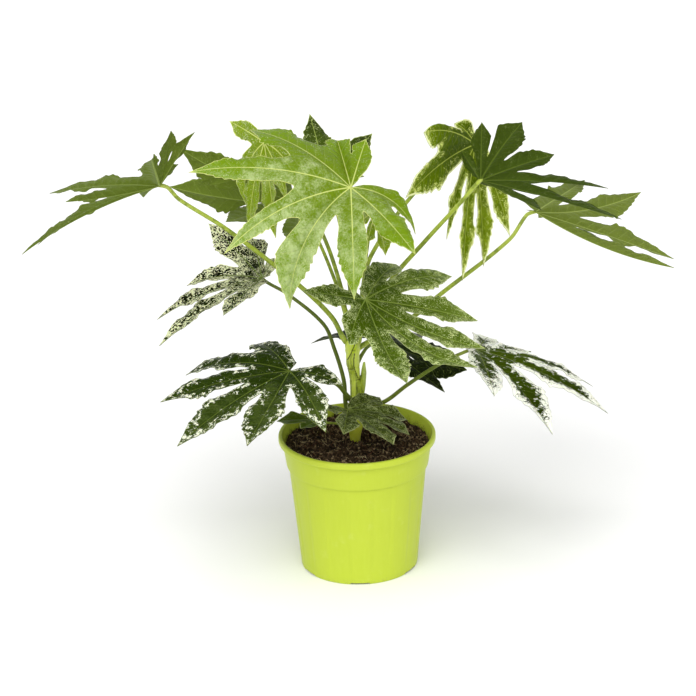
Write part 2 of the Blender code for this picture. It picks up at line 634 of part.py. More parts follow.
def add_soil():
    """The root ball: it fills the pot to a finger below the rim, with a plain hole for the stem."""
    sides = POT_SIDES
    foot_x, foot_y = STEM_FOOT
    hole = STEM_RADIUS + GAP
    bm = bmesh.new()

    def ring(share, height=None):
        """A ring on the surface, between the stem's hole and the pot's wall."""
        made = []
        for k in range(sides):
            rim = polar(360 * k / sides, inner_radius(SOIL_TOP + SOIL_BANK) - GAP - 0.8, 0)
            centre = Vector((foot_x, foot_y, 0))
            edge = centre + (rim - centre).normalized() * hole
            spot = edge.lerp(rim, share)
            spot.z = soil_height(spot.x, spot.y) if height is None else height
            made.append(bm.verts.new(spot))
        return made

    bottom = FLOOR_HEIGHT + FLOOR_THICKNESS + GAP
    rings = []
    for level, play in ((bottom, 0.0), (104.0, 0.2), (113.2, 0.2), (124.0, 0.4)):
        radius = inner_radius(level) - GAP - play
        rings.append([bm.verts.new(polar(360 * k / sides, radius, level)) for k in range(sides)])
    rings += [ring(1.0), ring(0.78), ring(0.5), ring(0.22), ring(0.0), ring(0.0, SOIL_TOP - STEM_DEPTH - GAP)]
    for lower, upper in zip(rings, rings[1:]):
        for k in range(sides):
            n = (k + 1) % sides
            bm.faces.new((lower[k], lower[n], upper[n], upper[k]))
    bm.faces.new(rings[0][::-1])
    bm.faces.new(rings[-1])
    bmesh.ops.triangulate(bm, faces=bm.faces)
    bmesh.ops.recalc_face_normals(bm, faces=bm.faces)
    add_object("soil", bm, "soil")


def centre_over_origin():
    """Moves all pieces alike, until the origin is under the middle of the box round them."""
    bpy.context.view_layer.update()
    pieces = list(bpy.context.collection.objects)
    corners = np.array([piece.matrix_world @ Vector(corner) for piece in pieces for corner in piece.bound_box])
    middle = (corners.min(axis=0) + corners.max(axis=0)) / 2
    for piece in pieces:
        piece.location.x -= middle[0]
        piece.location.y -= middle[1]


clear_scene()
add_pot()
add_soil()
add_stem()
for leaf_name, one_leaf in LEAVES.items():
    add_blade("blade_" + leaf_name, one_leaf)
    add_petiole("petiole_" + leaf_name, one_leaf)
centre_over_origin()
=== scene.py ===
# %% [markdown]
# # A spider-web fatsia in its nursery pot
# The plant is a young Fatsia japonica with cream flecks, about half a metre tall, in a lime-green plastic
# pot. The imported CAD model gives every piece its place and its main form. This lesson swaps each plain
# solid for a finer mesh of the same form and gives every surface a finish made only of nodes.

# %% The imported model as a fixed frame
import json
import math
from typing import NamedTuple

import bmesh
import bpy
import numpy as np
from mathutils import Matrix, Vector, noise

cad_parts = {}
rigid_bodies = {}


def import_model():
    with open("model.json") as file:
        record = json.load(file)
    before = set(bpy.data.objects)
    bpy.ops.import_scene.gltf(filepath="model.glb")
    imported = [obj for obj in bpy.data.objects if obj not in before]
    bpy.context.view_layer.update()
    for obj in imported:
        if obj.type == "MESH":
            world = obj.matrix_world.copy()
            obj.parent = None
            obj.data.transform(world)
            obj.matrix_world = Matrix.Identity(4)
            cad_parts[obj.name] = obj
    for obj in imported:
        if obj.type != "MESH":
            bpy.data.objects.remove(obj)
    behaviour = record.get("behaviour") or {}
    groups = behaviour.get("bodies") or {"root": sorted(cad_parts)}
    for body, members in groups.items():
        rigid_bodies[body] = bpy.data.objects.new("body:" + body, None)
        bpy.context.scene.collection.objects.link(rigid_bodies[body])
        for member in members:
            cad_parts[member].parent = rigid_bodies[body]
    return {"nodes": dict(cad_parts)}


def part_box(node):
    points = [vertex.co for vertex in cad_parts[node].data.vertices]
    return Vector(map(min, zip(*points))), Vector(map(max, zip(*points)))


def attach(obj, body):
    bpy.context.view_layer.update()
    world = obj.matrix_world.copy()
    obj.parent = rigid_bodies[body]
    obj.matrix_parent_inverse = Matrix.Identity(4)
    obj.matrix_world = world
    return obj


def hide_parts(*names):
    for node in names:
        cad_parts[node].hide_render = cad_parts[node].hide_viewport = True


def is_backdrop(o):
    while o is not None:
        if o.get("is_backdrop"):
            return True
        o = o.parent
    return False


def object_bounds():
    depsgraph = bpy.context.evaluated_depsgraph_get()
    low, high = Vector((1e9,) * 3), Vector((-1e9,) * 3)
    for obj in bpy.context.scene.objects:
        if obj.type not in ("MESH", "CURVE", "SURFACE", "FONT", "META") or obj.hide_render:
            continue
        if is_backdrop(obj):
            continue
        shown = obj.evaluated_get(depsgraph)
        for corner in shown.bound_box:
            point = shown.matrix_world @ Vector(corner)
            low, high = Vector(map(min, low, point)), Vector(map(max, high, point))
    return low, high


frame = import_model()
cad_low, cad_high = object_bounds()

print("pieces in the frame:", len(frame["nodes"]))

# %% [markdown]
# ## Places in millimetres
# A plant is easiest to lay out in millimetres from the middle of the pot's foot. The frame works in
# metres from the middle of the whole plant, so each place is scaled and moved once, where a mesh is made.
# The pot's own box says how far to move it.

# %% Where the pot stands
MM = 0.001
pot_low, pot_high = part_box("pot")
POT_PLACE = np.array(((pot_low[0] + pot_high[0]) / 2, (pot_low[1] + pot_high[1]) / 2, 0.0))
print("middle of the pot's foot:", POT_PLACE.round(4))


# %% Angles and smooth steps
def polar(angle, radius, height):
    turn = math.radians(angle)
    return Vector((radius * math.cos(turn), radius * math.sin(turn), height))


def direction(compass, rise):
    """A unit vector towards a compass direction, 0 to the right and 90 to the back, and upwards."""
    return polar(compass, math.cos(math.radians(rise)), math.sin(math.radians(rise)))


def ease(t):
    """Runs from 0 to 1 with no slope at either end."""
    return t * t * (3 - 2 * t)


def step_up(low, high, value):
    return ease(np.clip((value - low) / (high - low), 0.0, 1.0))


# %% New objects
def new_object(name, data):
    """An object that holds a camera, a lamp or a mesh, placed in the scene."""
    made = bpy.data.objects.new(name, data)
    bpy.context.collection.objects.link(made)
    return made


# %% [markdown]
# ## The camera
# A picture for a plant catalogue is taken from a few metres away with a long lens, so that near and far
# leaves keep their sizes. The camera looks down by 22 degrees and is rolled by a little more than one.
# Its eye is moved sideways, in place of a lens shift, until the pot's foot lies where it should.

# %% Camera
IMAGE_SIZE = 696
LOOK_DOWN = math.radians(22.2)
ROLL = math.radians(-1.3)
FOCAL_PIXELS = 3653.0
DISTANCE = 4000.0
FOOT_PIXEL = (359.7, 559.4)       # where the middle of the pot's foot lies in the picture

forward = Vector((0, math.cos(LOOK_DOWN), -math.sin(LOOK_DOWN)))
level_right = Vector((1, 0, 0))
level_up = level_right.cross(forward)
right = level_right * math.cos(ROLL) + level_up * math.sin(ROLL)
up = right.cross(forward)
aside = (FOOT_PIXEL[0] - IMAGE_SIZE / 2) / FOCAL_PIXELS
below = (FOOT_PIXEL[1] - IMAGE_SIZE / 2) / FOCAL_PIXELS
eye = -(forward + right * aside - up * below) * DISTANCE

lens = bpy.data.cameras.new("camera")
lens.sensor_width = 36.0
lens.lens = FOCAL_PIXELS / IMAGE_SIZE * lens.sensor_width
lens.clip_start = 0.1
lens.clip_end = 100.0
camera = new_object("camera", lens)
facing = Matrix((right, up, -forward)).transposed().to_4x4()
camera.matrix_world = Matrix.Translation(Vector(POT_PLACE) + eye * MM) @ facing
bpy.context.scene.camera = camera
print("camera", round(eye.length * MM, 2), "m away, lens", round(lens.lens, 1), "mm")

# %% [markdown]
# ## Shader sums as Python expressions
# A leaf's finish is a sum of many faint layers. Written node by node that is hard to read, so one small
# class holds a socket and adds a Math node whenever two of its kind are added, subtracted, multiplied or
# divided.
# All other nodes come from its one method `add`, which sets a node up and then feeds its sockets.

# %% Colours
def paint(*chart):
    """A colour from a paint chart, red, green and blue from 0 to 255, as linear light."""
    linear = [c / 255 / 12.92 if c < 11 else ((c / 255 + 0.055) / 1.055) ** 2.4 for c in chart]
    return (*linear, 1.0)


# %% The class for shader sums
class Wire:
    """A socket in a node tree. Sums and products of wires add Math nodes to the same tree."""

    def __init__(self, tree, socket=None):
        self.tree = tree
        self.socket = socket

    def add(self, kind, settings=None, sockets=None, output=0):
        """Adds a node of a kind, first its settings and then its sockets' values or links."""
        node = self.tree.nodes.new("ShaderNode" + kind)
        for name, value in (settings or {}).items():
            if name == "stops":
                ramp = node.color_ramp
                while len(ramp.elements) < len(value):
                    ramp.elements.new(1.0)
                for element, (position, colour) in zip(ramp.elements, value):
                    element.position = position
                    element.color = colour
            else:
                setattr(node, name, value)
        for name, value in (sockets or {}).items():
            if isinstance(value, Wire):
                self.tree.links.new(value.socket, node.inputs[name])
            else:
                node.inputs[name].default_value = value
        return Wire(self.tree, node.outputs[output])

    def maths(self, operation, *values):
        return self.add("Math", {"operation": operation}, dict(enumerate(values)))

    def __add__(self, other):
        return self.maths("ADD", self, other)

    __radd__ = __add__

    def __sub__(self, other):
        return self.maths("SUBTRACT", self, other)

    def __rsub__(self, other):
        return self.maths("SUBTRACT", other, self)

    def __mul__(self, other):
        return self.maths("MULTIPLY", self, other)

    __rmul__ = __mul__

    def __truediv__(self, other):
        return self.maths("DIVIDE", self, other)

    def rise(self, low, high):
        """0 below low, 1 above high, and smooth between them."""
        return self.add("MapRange", {"interpolation_type": "SMOOTHSTEP"},
                        {"Value": self, "From Min": low, "From Max": high})

    def colour(self, share, under, over):
        """Mixes two colours: share 0 gives under and share 1 gives over."""
        return self.add("Mix", {"data_type": "RGBA", "clamp_factor": True}, {0: share, 6: under, 7: over}, 2)

    def coats(self, *layers):
        """Lays coats over a colour: each has the share that it covers, and its colour on the chart."""
        colour = self
        for share, chart in layers:
            colour = self.colour(share, colour, paint(*chart))
        return colour

    def ramp(self, *stops):
        """Colours along a value: each stop is a position and a colour on the chart."""
        stops = [(position, paint(*chart)) for position, *chart in stops]
        return self.add("ValToRGB", {"stops": stops}, {"Fac": self})

    def axis(self, letter):
        """One of a vector's three values."""
        return self.add("SeparateXYZ", None, {0: self}, letter)

    def stretch(self, factors):
        return self.add("VectorMath", {"operation": "MULTIPLY"}, {0: self, 1: factors})

    def cloud(self, size, detail=2.0, rough=0.5):
        """Soft noise from about 0.25 to 0.75, with lumps of a given size."""
        return self.add("TexNoise", None,
                        {"Vector": self, "Scale": 1 / size, "Detail": detail, "Roughness": rough})

    def field(self, name, output="Fac"):
        """What the mesh itself carries under a name."""
        return self.add("Attribute", {"attribute_name": name}, output=output)


# %% New materials
def new_finish(name, **fixed):
    """A material whose unvarying sockets are set at once. Gives the material, its shader and a wire."""
    made = bpy.data.materials.new(name)
    made.use_nodes = True
    shader = made.node_tree.nodes["Principled BSDF"]
    for socket, value in fixed.items():
        shader.inputs[socket.replace("_", " ")].default_value = value
    return made, shader, Wire(made.node_tree)


def plug(shader, **sockets):
    """Links wires into a shader's sockets."""
    for socket, wire in sockets.items():
        wire.tree.links.new(wire.socket, shader.inputs[socket.replace("_", " ")])


def bumped(height, strength=1.0):
    """A normal from a height in millimetres."""
    return height.add("Bump", None, {"Strength": strength, "Distance": MM, "Height": height})


def millimetres(sheet):
    """Object coordinates in millimetres from the middle of the pot's foot."""
    place = sheet.add("TexCoord", output="Object")
    place = sheet.add("VectorMath", {"operation": "SUBTRACT"}, {0: place, 1: tuple(POT_PLACE)})
    return sheet.add("VectorMath", {"operation": "SCALE"}, {0: place, "Scale": 1 / MM})


# %% [markdown]
# ## Studio
# Catalogue light is soft and comes from everywhere, with one large source high at the front left. Area
# lamps fade with distance and would leave the floor grey at the back, so the large source is a sun with a
# wide disc, and only a low card on the right is an area lamp. The floor is a near-white sheet that runs
# far back. The plain `Standard` view keeps a white floor white and the pot as bright a lime as it is.

# %% World and lamps
scene = bpy.context.scene
scene.view_settings.view_transform = "Standard"
WORLD_STRENGTH = 0.62
world = bpy.data.worlds.new("white room")
world.use_nodes = True
scene.world = world
background = world.node_tree.nodes["Background"]
background.inputs["Color"].default_value = (1, 1, 1, 1)
room = Wire(world.node_tree)
seen = room.add("LightPath", output="Is Camera Ray")
strength = seen * (1.0 - WORLD_STRENGTH) + WORLD_STRENGTH
world.node_tree.links.new(strength.socket, background.inputs["Strength"])


def add_lamp(name, kind, place, aim, **settings):
    """A lamp that stands in a place, in metres, and shines along aim."""
    lamp = new_object(name, bpy.data.lights.new(name, kind))
    lamp.location = place
    lamp.rotation_euler = aim.to_track_quat("-Z", "Y").to_euler()
    for setting, value in settings.items():
        setattr(lamp.data, setting, value)


CARD_PLACE = Vector((2.0, -2.0, 0.9))
PLANT_MIDDLE = Vector((0.0, 0.0, 0.28))
SOFTBOX = direction(254, 54)      # where the large source stands, seen from the plant
add_lamp("card", "AREA", CARD_PLACE, PLANT_MIDDLE - CARD_PLACE, shape="DISK", size=1.4, energy=7.0)
add_lamp("softbox", "SUN", (0, 0, 0), -SOFTBOX, energy=2.25, angle=math.radians(50))

# %% Floor
FLOOR_SIDES = 64
FLOOR_RADIUS = 30.0               # in metres
floor_finish, floor_shader, sheet = new_finish("white sheet", Roughness=0.75, Specular_IOR_Level=0.2)
grain = millimetres(sheet).cloud(240.0, 4.0)
plug(floor_shader, Base_Color=sheet.colour(grain, paint(250, 250, 250), paint(254, 254, 253)))
floor_mesh = bpy.data.meshes.new("floor")
edge = [tuple(polar(360 * k / FLOOR_SIDES, FLOOR_RADIUS, 0.0)) for k in range(FLOOR_SIDES)]
floor_mesh.from_pydata(edge, [], [list(range(FLOOR_SIDES))])
floor_mesh.materials.append(floor_finish)
floor = new_object("floor", floor_mesh)
floor.location.z = -0.0002
floor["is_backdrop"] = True
print("lamps and floor stand")


# %% [markdown]
# ## From lists of places to pieces
# Every piece is worked out as an array of places and a list of faces. One function turns them into a
# smooth mesh object, hangs it on the root body and hides the plain solid it stands for. Values such as
# the distance from a leaf's margin go along as attributes, where the finishes read them.

# %% Making a piece
def add_fields(mesh, fields):
    """Writes down values for each place, where the finishes read them."""
    for field, values in fields.items():
        values = np.asarray(values, np.float32)
        vector = values.ndim == 2
        layer = mesh.attributes.new(field, "FLOAT_VECTOR" if vector else "FLOAT", "POINT")
        layer.data.foreach_set("vector" if vector else "value", values.ravel())


def make_mesh(name, points, faces, fields=None):
    """A smooth mesh of places in millimetres."""
    mesh = bpy.data.meshes.new(name)
    mesh.from_pydata((np.asarray(points, float) * MM + POT_PLACE).tolist(), [], faces)
    add_fields(mesh, fields or {})
    mesh.shade_smooth()
    return mesh


def make_piece(name, mesh, finish, node):
    """Hangs a mesh on the root body, in place of a node of the CAD model."""
    mesh.materials.clear()
    mesh.materials.append(finish)
    piece = new_object(name, mesh)
    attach(piece, "root")
    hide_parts(node)


def join(points, faces, more_points, more_faces):
    """Adds one mesh's places and faces to another's."""
    start = len(points)
    points.extend(more_points)
    faces.extend(tuple(start + i for i in face) for face in more_faces)


# %% Tubes and smooth lines
def ring_faces(rows, columns, closed=True):
    """Quads between rows of places; closed joins each row's end to its start."""
    last = columns if closed else columns - 1
    return [(r * columns + c, r * columns + (c + 1) % columns,
             (r + 1) * columns + (c + 1) % columns, (r + 1) * columns + c)
            for r in range(rows - 1) for c in range(last)]


def tube(path, radii, sides, start=None, end=None):
    """Places and faces of a closed tube along a path. start and end are its first and last tangents."""
    path = [Vector(place) for place in path]
    last = len(path) - 1
    tangents = [(path[min(i + 1, last)] - path[max(i - 1, 0)]).normalized() for i in range(last + 1)]
    tangents[0] = start or tangents[0]
    tangents[-1] = end or tangents[-1]
    across = tangents[0].orthogonal().normalized()
    points = []
    for centre, radius, tangent in zip(path, radii, tangents):
        across = (across - tangent * across.dot(tangent)).normalized()
        other = tangent.cross(across)
        for k in range(sides):
            turn = 2 * math.pi * k / sides
            points.append(centre + (across * math.cos(turn) + other * math.sin(turn)) * radius)
    faces = ring_faces(len(path), sides)
    faces.append(tuple(range(sides))[::-1])
    faces.append(tuple(range(last * sides, (last + 1) * sides)))
    return [tuple(point) for point in points], faces


def smooth_between(a, b, c, d, u):
    """A place between b at u 0 and c at u 1, on the smooth line through all four."""
    span = (c - b).length
    leave = (c - a) * span / ((b - a).length + span)
    reach = (d - b) * span / ((d - c).length + span)
    line = b * (2 * u ** 3 - 3 * u ** 2 + 1) + c * (3 * u ** 2 - 2 * u ** 3)
    return line + leave * (u ** 3 - 2 * u ** 2 + u) + reach * (u ** 3 - u ** 2)


def smooth_path(knots, spacing, before=None, after=None):
    """A smooth line through knots, with a place every so many millimetres. before and after lie
    past its ends and give it its first and last direction."""
    knots = [Vector(knot) for knot in knots]
    ends = [before or knots[0] * 2 - knots[1], *knots, after or knots[-1] * 2 - knots[-2]]
    path = []
    for a, b, c, d in zip(ends, ends[1:], ends[2:], ends[3:]):
        steps = max(1, round((c - b).length / spacing))
        path += [smooth_between(a, b, c, d, step / steps) for step in range(steps)]
    return path + [knots[-1]]


# %% [markdown]
# ## The pot
# A nursery pot is one thin shell of polypropylene: a plain taper with faint upright panels, a ledge where
# the next pot of a stack rests, a smooth collar and a rolled rim. It could be carved from a cylinder, but
# its profile says everything, so a rounded profile is turned round the axis. Only the drain holes and the
# notches in the foot are cut out afterwards.

# %% The pot's profile
POT_HEIGHT = 151.5
RIM_RADIUS = 85.0
BASE_RADIUS = 63.2
FLOOR_HEIGHT = 4.0
FLOOR_THICKNESS = 2.2
FLOOR_TOP = FLOOR_HEIGHT + FLOOR_THICKNESS
POT_SIDES = 216
INNER_COLLAR = (77.8, 138.0)      # radius and height of the wall's inside within the collar

# radius, height and rounding of each corner, from under the floor round the rim to the floor's top
POT_CORNERS = (
    (40.0, FLOOR_HEIGHT, 0.0), (BASE_RADIUS - 3.4, FLOOR_HEIGHT, 0.8), (BASE_RADIUS - 3.4, 0.0, 0.5),
    (BASE_RADIUS, 0.0, 0.9), (73.2, 104.0, 2.0), (74.3, 116.6, 0.3), (76.5, 116.9, 0.4), (77.0, 119.2, 0.6),
    (79.8, 138.0, 3.0), (80.6, 144.5, 0.9), (84.2, 144.1, 1.0), (RIM_RADIUS, 145.5, 0.8),
    (RIM_RADIUS, 149.9, 1.6), (83.8, POT_HEIGHT, 1.0), (81.2, POT_HEIGHT, 1.0), (*INNER_COLLAR, 3.0),
    (75.0, 118.4, 2.0), (72.6, 113.2, 1.5), (71.2, 104.0, 2.0), (61.7, FLOOR_TOP, 1.8),
    (40.0, FLOOR_TOP, 0.0))


def rounded(corners, steps=4, spacing=9.0):
    """A row of corners with each one rounded, and long straight stretches cut up."""
    flat = [np.array(corner[:2]) for corner in corners]
    row = []
    for i, (corner, (_, _, rounding)) in enumerate(zip(flat, corners)):
        if 0 < i < len(flat) - 1:
            before, after = flat[i - 1] - corner, flat[i + 1] - corner
            a = corner + before * min(0.45, rounding / np.linalg.norm(before))
            b = corner + after * min(0.45, rounding / np.linalg.norm(after))
            arc = [a * (1 - t) ** 2 + corner * 2 * t * (1 - t) + b * t * t for t in np.linspace(0, 1, steps)]
        else:
            arc = [corner]
        if row:
            cuts = int(np.linalg.norm(arc[0] - row[-1]) // spacing)
            row += [row[-1] + (arc[0] - row[-1]) * t for t in np.linspace(0, 1, cuts + 2)[1:-1]]
        row += arc
    return np.array(row)


profile = rounded(POT_CORNERS)
print("pot profile of", len(profile), "places")

# %% Turning the profile and sinking every other panel
PANELS = 18
PANEL_DEPTH = 0.7

turns = np.linspace(0, 2 * math.pi, POT_SIDES, endpoint=False)
radius, height = profile[:, 0], profile[:, 1]
foot_share = step_up(7.0, 20.0, height) * (1 - step_up(102.0, 112.0, height))
outside = np.arange(len(profile)) < np.argmax(height >= POT_HEIGHT - 0.01)
across_panel = PANELS * turns / (2 * math.pi) % 2.0
panel = step_up(0.0, 0.1, across_panel) * (1 - step_up(1.0, 1.1, across_panel))
sunk = PANEL_DEPTH * foot_share * outside
fluted = radius[None, :] - sunk[None, :] * panel[:, None]
shell = np.stack((fluted * np.cos(turns)[:, None], fluted * np.sin(turns)[:, None],
                  np.broadcast_to(height, fluted.shape)), axis=-1).reshape(-1, 3)
shell_faces = []
columns = len(profile)
for k in range(POT_SIDES):
    here, there = k * columns, (k + 1) % POT_SIDES * columns
    shell_faces += [(here + i, there + i, there + i + 1, here + i + 1) for i in range(columns - 1)]
shell_faces.append([k * columns for k in range(POT_SIDES)])
shell_faces.append([k * columns + columns - 1 for k in range(POT_SIDES)][::-1])
pot_mesh = make_mesh("nursery_pot", shell, shell_faces)
check = bmesh.new()
check.from_mesh(pot_mesh)
bmesh.ops.recalc_face_normals(check, faces=check.faces)
check.to_mesh(pot_mesh)
check.free()

# %% Drain holes and foot notches
DRAIN_HOLES = 8
DRAIN_RADIUS = 5.0
DRAIN_CIRCLE = 44.0
FOOT_NOTCHES = 6
FOOT_NOTCH_WIDTH = 21.0
FOOT_NOTCH_HEIGHT = 1.8

cutters = bpy.data.collections.new("pot cutters")


def add_cutter(points, faces):
    mesh = make_mesh("cutter", points, faces)
    cutters.objects.link(bpy.data.objects.new("cutter", mesh))


for k in range(DRAIN_HOLES):
    centre = polar(360 * (k + 0.5) / DRAIN_HOLES, DRAIN_CIRCLE, 0.0)
    ends = [centre + Vector((0, 0, height)) for height in (1, FLOOR_TOP + 3)]
    add_cutter(*tube(ends, (DRAIN_RADIUS,) * 2, 28))
for k in range(FOOT_NOTCHES):
    turn = Matrix.Rotation(math.radians(360 * k / FOOT_NOTCHES - 90), 3, "Z")
    block = [turn @ Vector((BASE_RADIUS - 1.5 + x, y * FOOT_NOTCH_WIDTH / 2, z * FOOT_NOTCH_HEIGHT))
             for z in (-1, 1) for x, y in ((-5, -1), (5, -1), (5, 1), (-5, 1))]
    add_cutter(block, [(3, 2, 1, 0), (4, 5, 6, 7), (0, 1, 5, 4), (1, 2, 6, 5), (2, 3, 7, 6), (3, 0, 4, 7)])


def settled(piece):
    """A piece's mesh as its modifiers leave it. The piece itself is thrown away."""
    graph = bpy.context.evaluated_depsgraph_get()
    mesh = bpy.data.meshes.new_from_object(piece.evaluated_get(graph))
    bpy.data.objects.remove(piece)
    return mesh


blank = new_object("pot blank", pot_mesh)
cut = blank.modifiers.new("holes and notches", "BOOLEAN")
cut.operation = "DIFFERENCE"
cut.operand_type = "COLLECTION"
cut.collection = cutters
cut.solver = "EXACT"
pot_mesh = settled(blank)
pot_mesh.shade_smooth()
pot_mesh.set_sharp_from_angle(angle=math.radians(38))
for cutter in list(cutters.objects):
    bpy.data.objects.remove(cutter)
bpy.data.collections.remove(cutters)
print("pot faces:", len(pot_mesh.polygons))

# %% [markdown]
# The plastic is a satin lime green, a little translucent. It was moulded, so it has a very fine orange
# peel and faint upright drag lines, and handling has left soft scuffs. Above the soil the inside of the
# wall carries a film of dust and splashed compost.

# %% Lime plastic
pot_finish, pot_shader, sheet = new_finish(
    "lime plastic", Subsurface_Weight=0.06, Subsurface_Radius=(1.0, 1.0, 0.3), Subsurface_Scale=0.002,
    Specular_IOR_Level=0.2)
place = millimetres(sheet)
x, y, z = (place.axis(letter) for letter in "XYZ")
from_axis = sheet.maths("SQRT", x * x + y * y)
drag = place.stretch((1.0, 1.0, 0.06)).cloud(2.6, 3.0, 0.6)
peel = place.cloud(0.9, 2.0)
scuffs = place.cloud(16.0, 5.0, 0.62).rise(0.56, 0.74)
wall_line = INNER_COLLAR[0] + (z - INNER_COLLAR[1]) * 0.25
inner = (wall_line + 0.9 - from_axis).rise(0.0, 0.5)
splash = inner * (z - 120.0).rise(0.0, 1.0) * (1.0 - (z - place.cloud(9.0, 4.0) * 15.0).rise(131.0, 139.0))
grime = splash * place.cloud(1.6, 4.0, 0.7).rise(0.40, 0.62)
foot_dust = (1.0 - z.rise(0.0, 7.0)) * place.cloud(3.0, 4.0).rise(0.45, 0.7)
lime = sheet.colour(place.cloud(70.0, 2.0), paint(183, 200, 52), paint(190, 206, 60)).coats(
    (drag * 0.12, (222, 236, 110)), (scuffs * 0.10, (225, 232, 150)),
    (grime * 0.75, (58, 44, 26)), (foot_dust * 0.25, (150, 150, 96)))
plug(pot_shader, Base_Color=lime, Roughness=0.36 + scuffs * 0.14 + grime * 0.3 + drag * 0.06,
     Normal=bumped(drag * 0.05 + peel * 0.03 - grime * 0.05))
make_piece("nursery_pot", pot_mesh, pot_finish, "pot")

# %% [markdown]
# ## The potting soil
# Compost is peat with bits of bark and root. A noise texture alone would look like suede from close by,
# so the surface is a fine grid with real lumps, and seeded crumbs and bent fibres lie on it. They are
# all one mesh, so that the soil stays one piece.

# %% The surface and the root ball
SOIL_TOP = 131.0              # beside the stem
SOIL_BANK = 9.0               # how much higher it lies by the wall
BANK_FROM, BANK_WIDTH = 9.0, 32.0
SOIL_WAVE = 2.4
STEM_FOOT = (-2.0, 27.0)
STEM_RADIUS = 6.0
GAP = 0.3
SOIL_RINGS = 96
SOIL_SIDES = 210
ROOT_BALL_LEVELS = (124.0, 113.2, 104.0, FLOOR_TOP + GAP)

INNER_HEIGHTS = (0.0, 104.0, 114.2, 118.4, INNER_COLLAR[1], POT_HEIGHT)
INNER_RADII = (61.2, 71.2, 72.8, 75.0, INNER_COLLAR[0], 80.6)


def inner_radius(height):
    """The pot's inside at a height above its floor."""
    return float(np.interp(height, INNER_HEIGHTS, INNER_RADII))


def soil_height(x, y):
    """A surface with a shallow basin round the stem and lumps down to the size of a pinhead."""
    away = math.hypot(x - STEM_FOOT[0], y - STEM_FOOT[1])
    bank = SOIL_BANK * ease(min(1.0, max(0.0, (away - BANK_FROM) / BANK_WIDTH)))
    waves = math.sin(0.11 * x + 0.4) * math.cos(0.13 * y) + 0.6 * math.sin(0.23 * x - 0.19 * y + 1.1)
    waves += 0.4 * math.cos(0.37 * y + 0.21 * x)
    lumps = 4.2 * noise.noise((x / 8.0, y / 8.0, 3.0)) + 2.4 * noise.noise((x / 3.2, y / 3.2, 8.0))
    lumps += 1.0 * noise.noise((x / 1.5, y / 1.5, 5.0))
    return SOIL_TOP + bank + SOIL_WAVE * waves / 2 + lumps - 0.6


soil_points, soil_tint = [], []
for r in range(SOIL_RINGS):
    share = r / (SOIL_RINGS - 1)
    for k in range(SOIL_SIDES):
        rim = polar(360 * k / SOIL_SIDES, inner_radius(SOIL_TOP + SOIL_BANK - 4.0) - 0.25, 0)
        centre = Vector((*STEM_FOOT, 0))
        spot = (centre + (rim - centre).normalized() * (STEM_RADIUS - 0.6)).lerp(rim, 1 - share)
        soil_points.append((spot.x, spot.y, soil_height(spot.x, spot.y)))
        soil_tint.append(0.5 + 0.5 * noise.noise((spot.x / 2.2, spot.y / 2.2, 21.0)))
soil_faces = ring_faces(SOIL_RINGS, SOIL_SIDES)
rim_row = list(range(SOIL_SIDES))
for level in ROOT_BALL_LEVELS:
    start = len(soil_points)
    radius_here = inner_radius(level) - GAP - 0.3
    soil_points += [tuple(polar(360 * k / SOIL_SIDES, radius_here, level)) for k in range(SOIL_SIDES)]
    soil_tint += [0.4] * SOIL_SIDES
    for k in range(SOIL_SIDES):
        n = (k + 1) % SOIL_SIDES
        soil_faces.append((rim_row[n], rim_row[k], start + k, start + n))
    rim_row = list(range(start, start + SOIL_SIDES))
soil_faces.append(tuple(rim_row[::-1]))
print("soil surface of", len(soil_faces), "faces")

# %% Crumbs and fibres
CRUMBS = 1300
CRUMB_LEAST, CRUMB_RANGE = 0.5, 1.7   # the least size of a crumb, and how much more the largest has
FIBRES = 170
FIBRE_LENGTHS = (5, 19)
SCATTER_RADIUS = 75.0         # how far out loose bits lie; fibres end a little earlier
FIBRE_STEPS = 8
chance = np.random.default_rng(41)


def add_loose(points, faces, tint):
    """Adds one loose bit to the soil's mesh."""
    join(soil_points, soil_faces, points, faces)
    soil_tint.extend([tint] * len(points))


ball = bmesh.new()
bmesh.ops.create_icosphere(ball, subdivisions=1, radius=1.0)
ball_points = np.array([vertex.co[:] for vertex in ball.verts])
ball_faces = [tuple(vertex.index for vertex in face.verts) for face in ball.faces]
ball.free()
for _ in range(CRUMBS):
    angle, out = chance.uniform(0, 360), SCATTER_RADIUS * math.sqrt(chance.uniform(0, 1))
    x, y, _ = polar(angle, out, 0)
    size = CRUMB_LEAST + CRUMB_RANGE * chance.uniform(0, 1) ** 2.4
    lump = ball_points * (1 + 0.35 * chance.standard_normal((len(ball_points), 1)))
    lump = lump * size * np.array((1.0, chance.uniform(0.6, 1.0), chance.uniform(0.45, 0.8)))
    turn = chance.uniform(0, 2 * math.pi)
    spin = np.array(((math.cos(turn), -math.sin(turn), 0), (math.sin(turn), math.cos(turn), 0), (0, 0, 1)))
    lump = lump @ spin.T + (x, y, soil_height(x, y) + 0.25 * size)
    add_loose(lump.tolist(), ball_faces, chance.uniform(0.15, 0.95))
for _ in range(FIBRES):
    angle, out = chance.uniform(0, 360), (SCATTER_RADIUS - 5.0) * math.sqrt(chance.uniform(0, 1))
    x, y, _ = polar(angle, out, 0)
    heading, length = chance.uniform(0, 360), chance.uniform(*FIBRE_LENGTHS)
    bend, path = chance.uniform(-80, 80), []
    for step in range(FIBRE_STEPS):
        away = polar(heading + bend * step / (FIBRE_STEPS - 1), length / (FIBRE_STEPS - 1), 0)
        x, y = x + away.x, y + away.y
        if math.hypot(x, y) > SCATTER_RADIUS - 1.0:
            break
        path.append((x, y, soil_height(x, y) + 0.5 + 0.6 * math.sin(step)))
    if len(path) > 3:
        thick = chance.uniform(0.16, 0.38)
        add_loose(*tube(path, [thick] * len(path), 5), 1.4 + chance.uniform(0, 0.6))

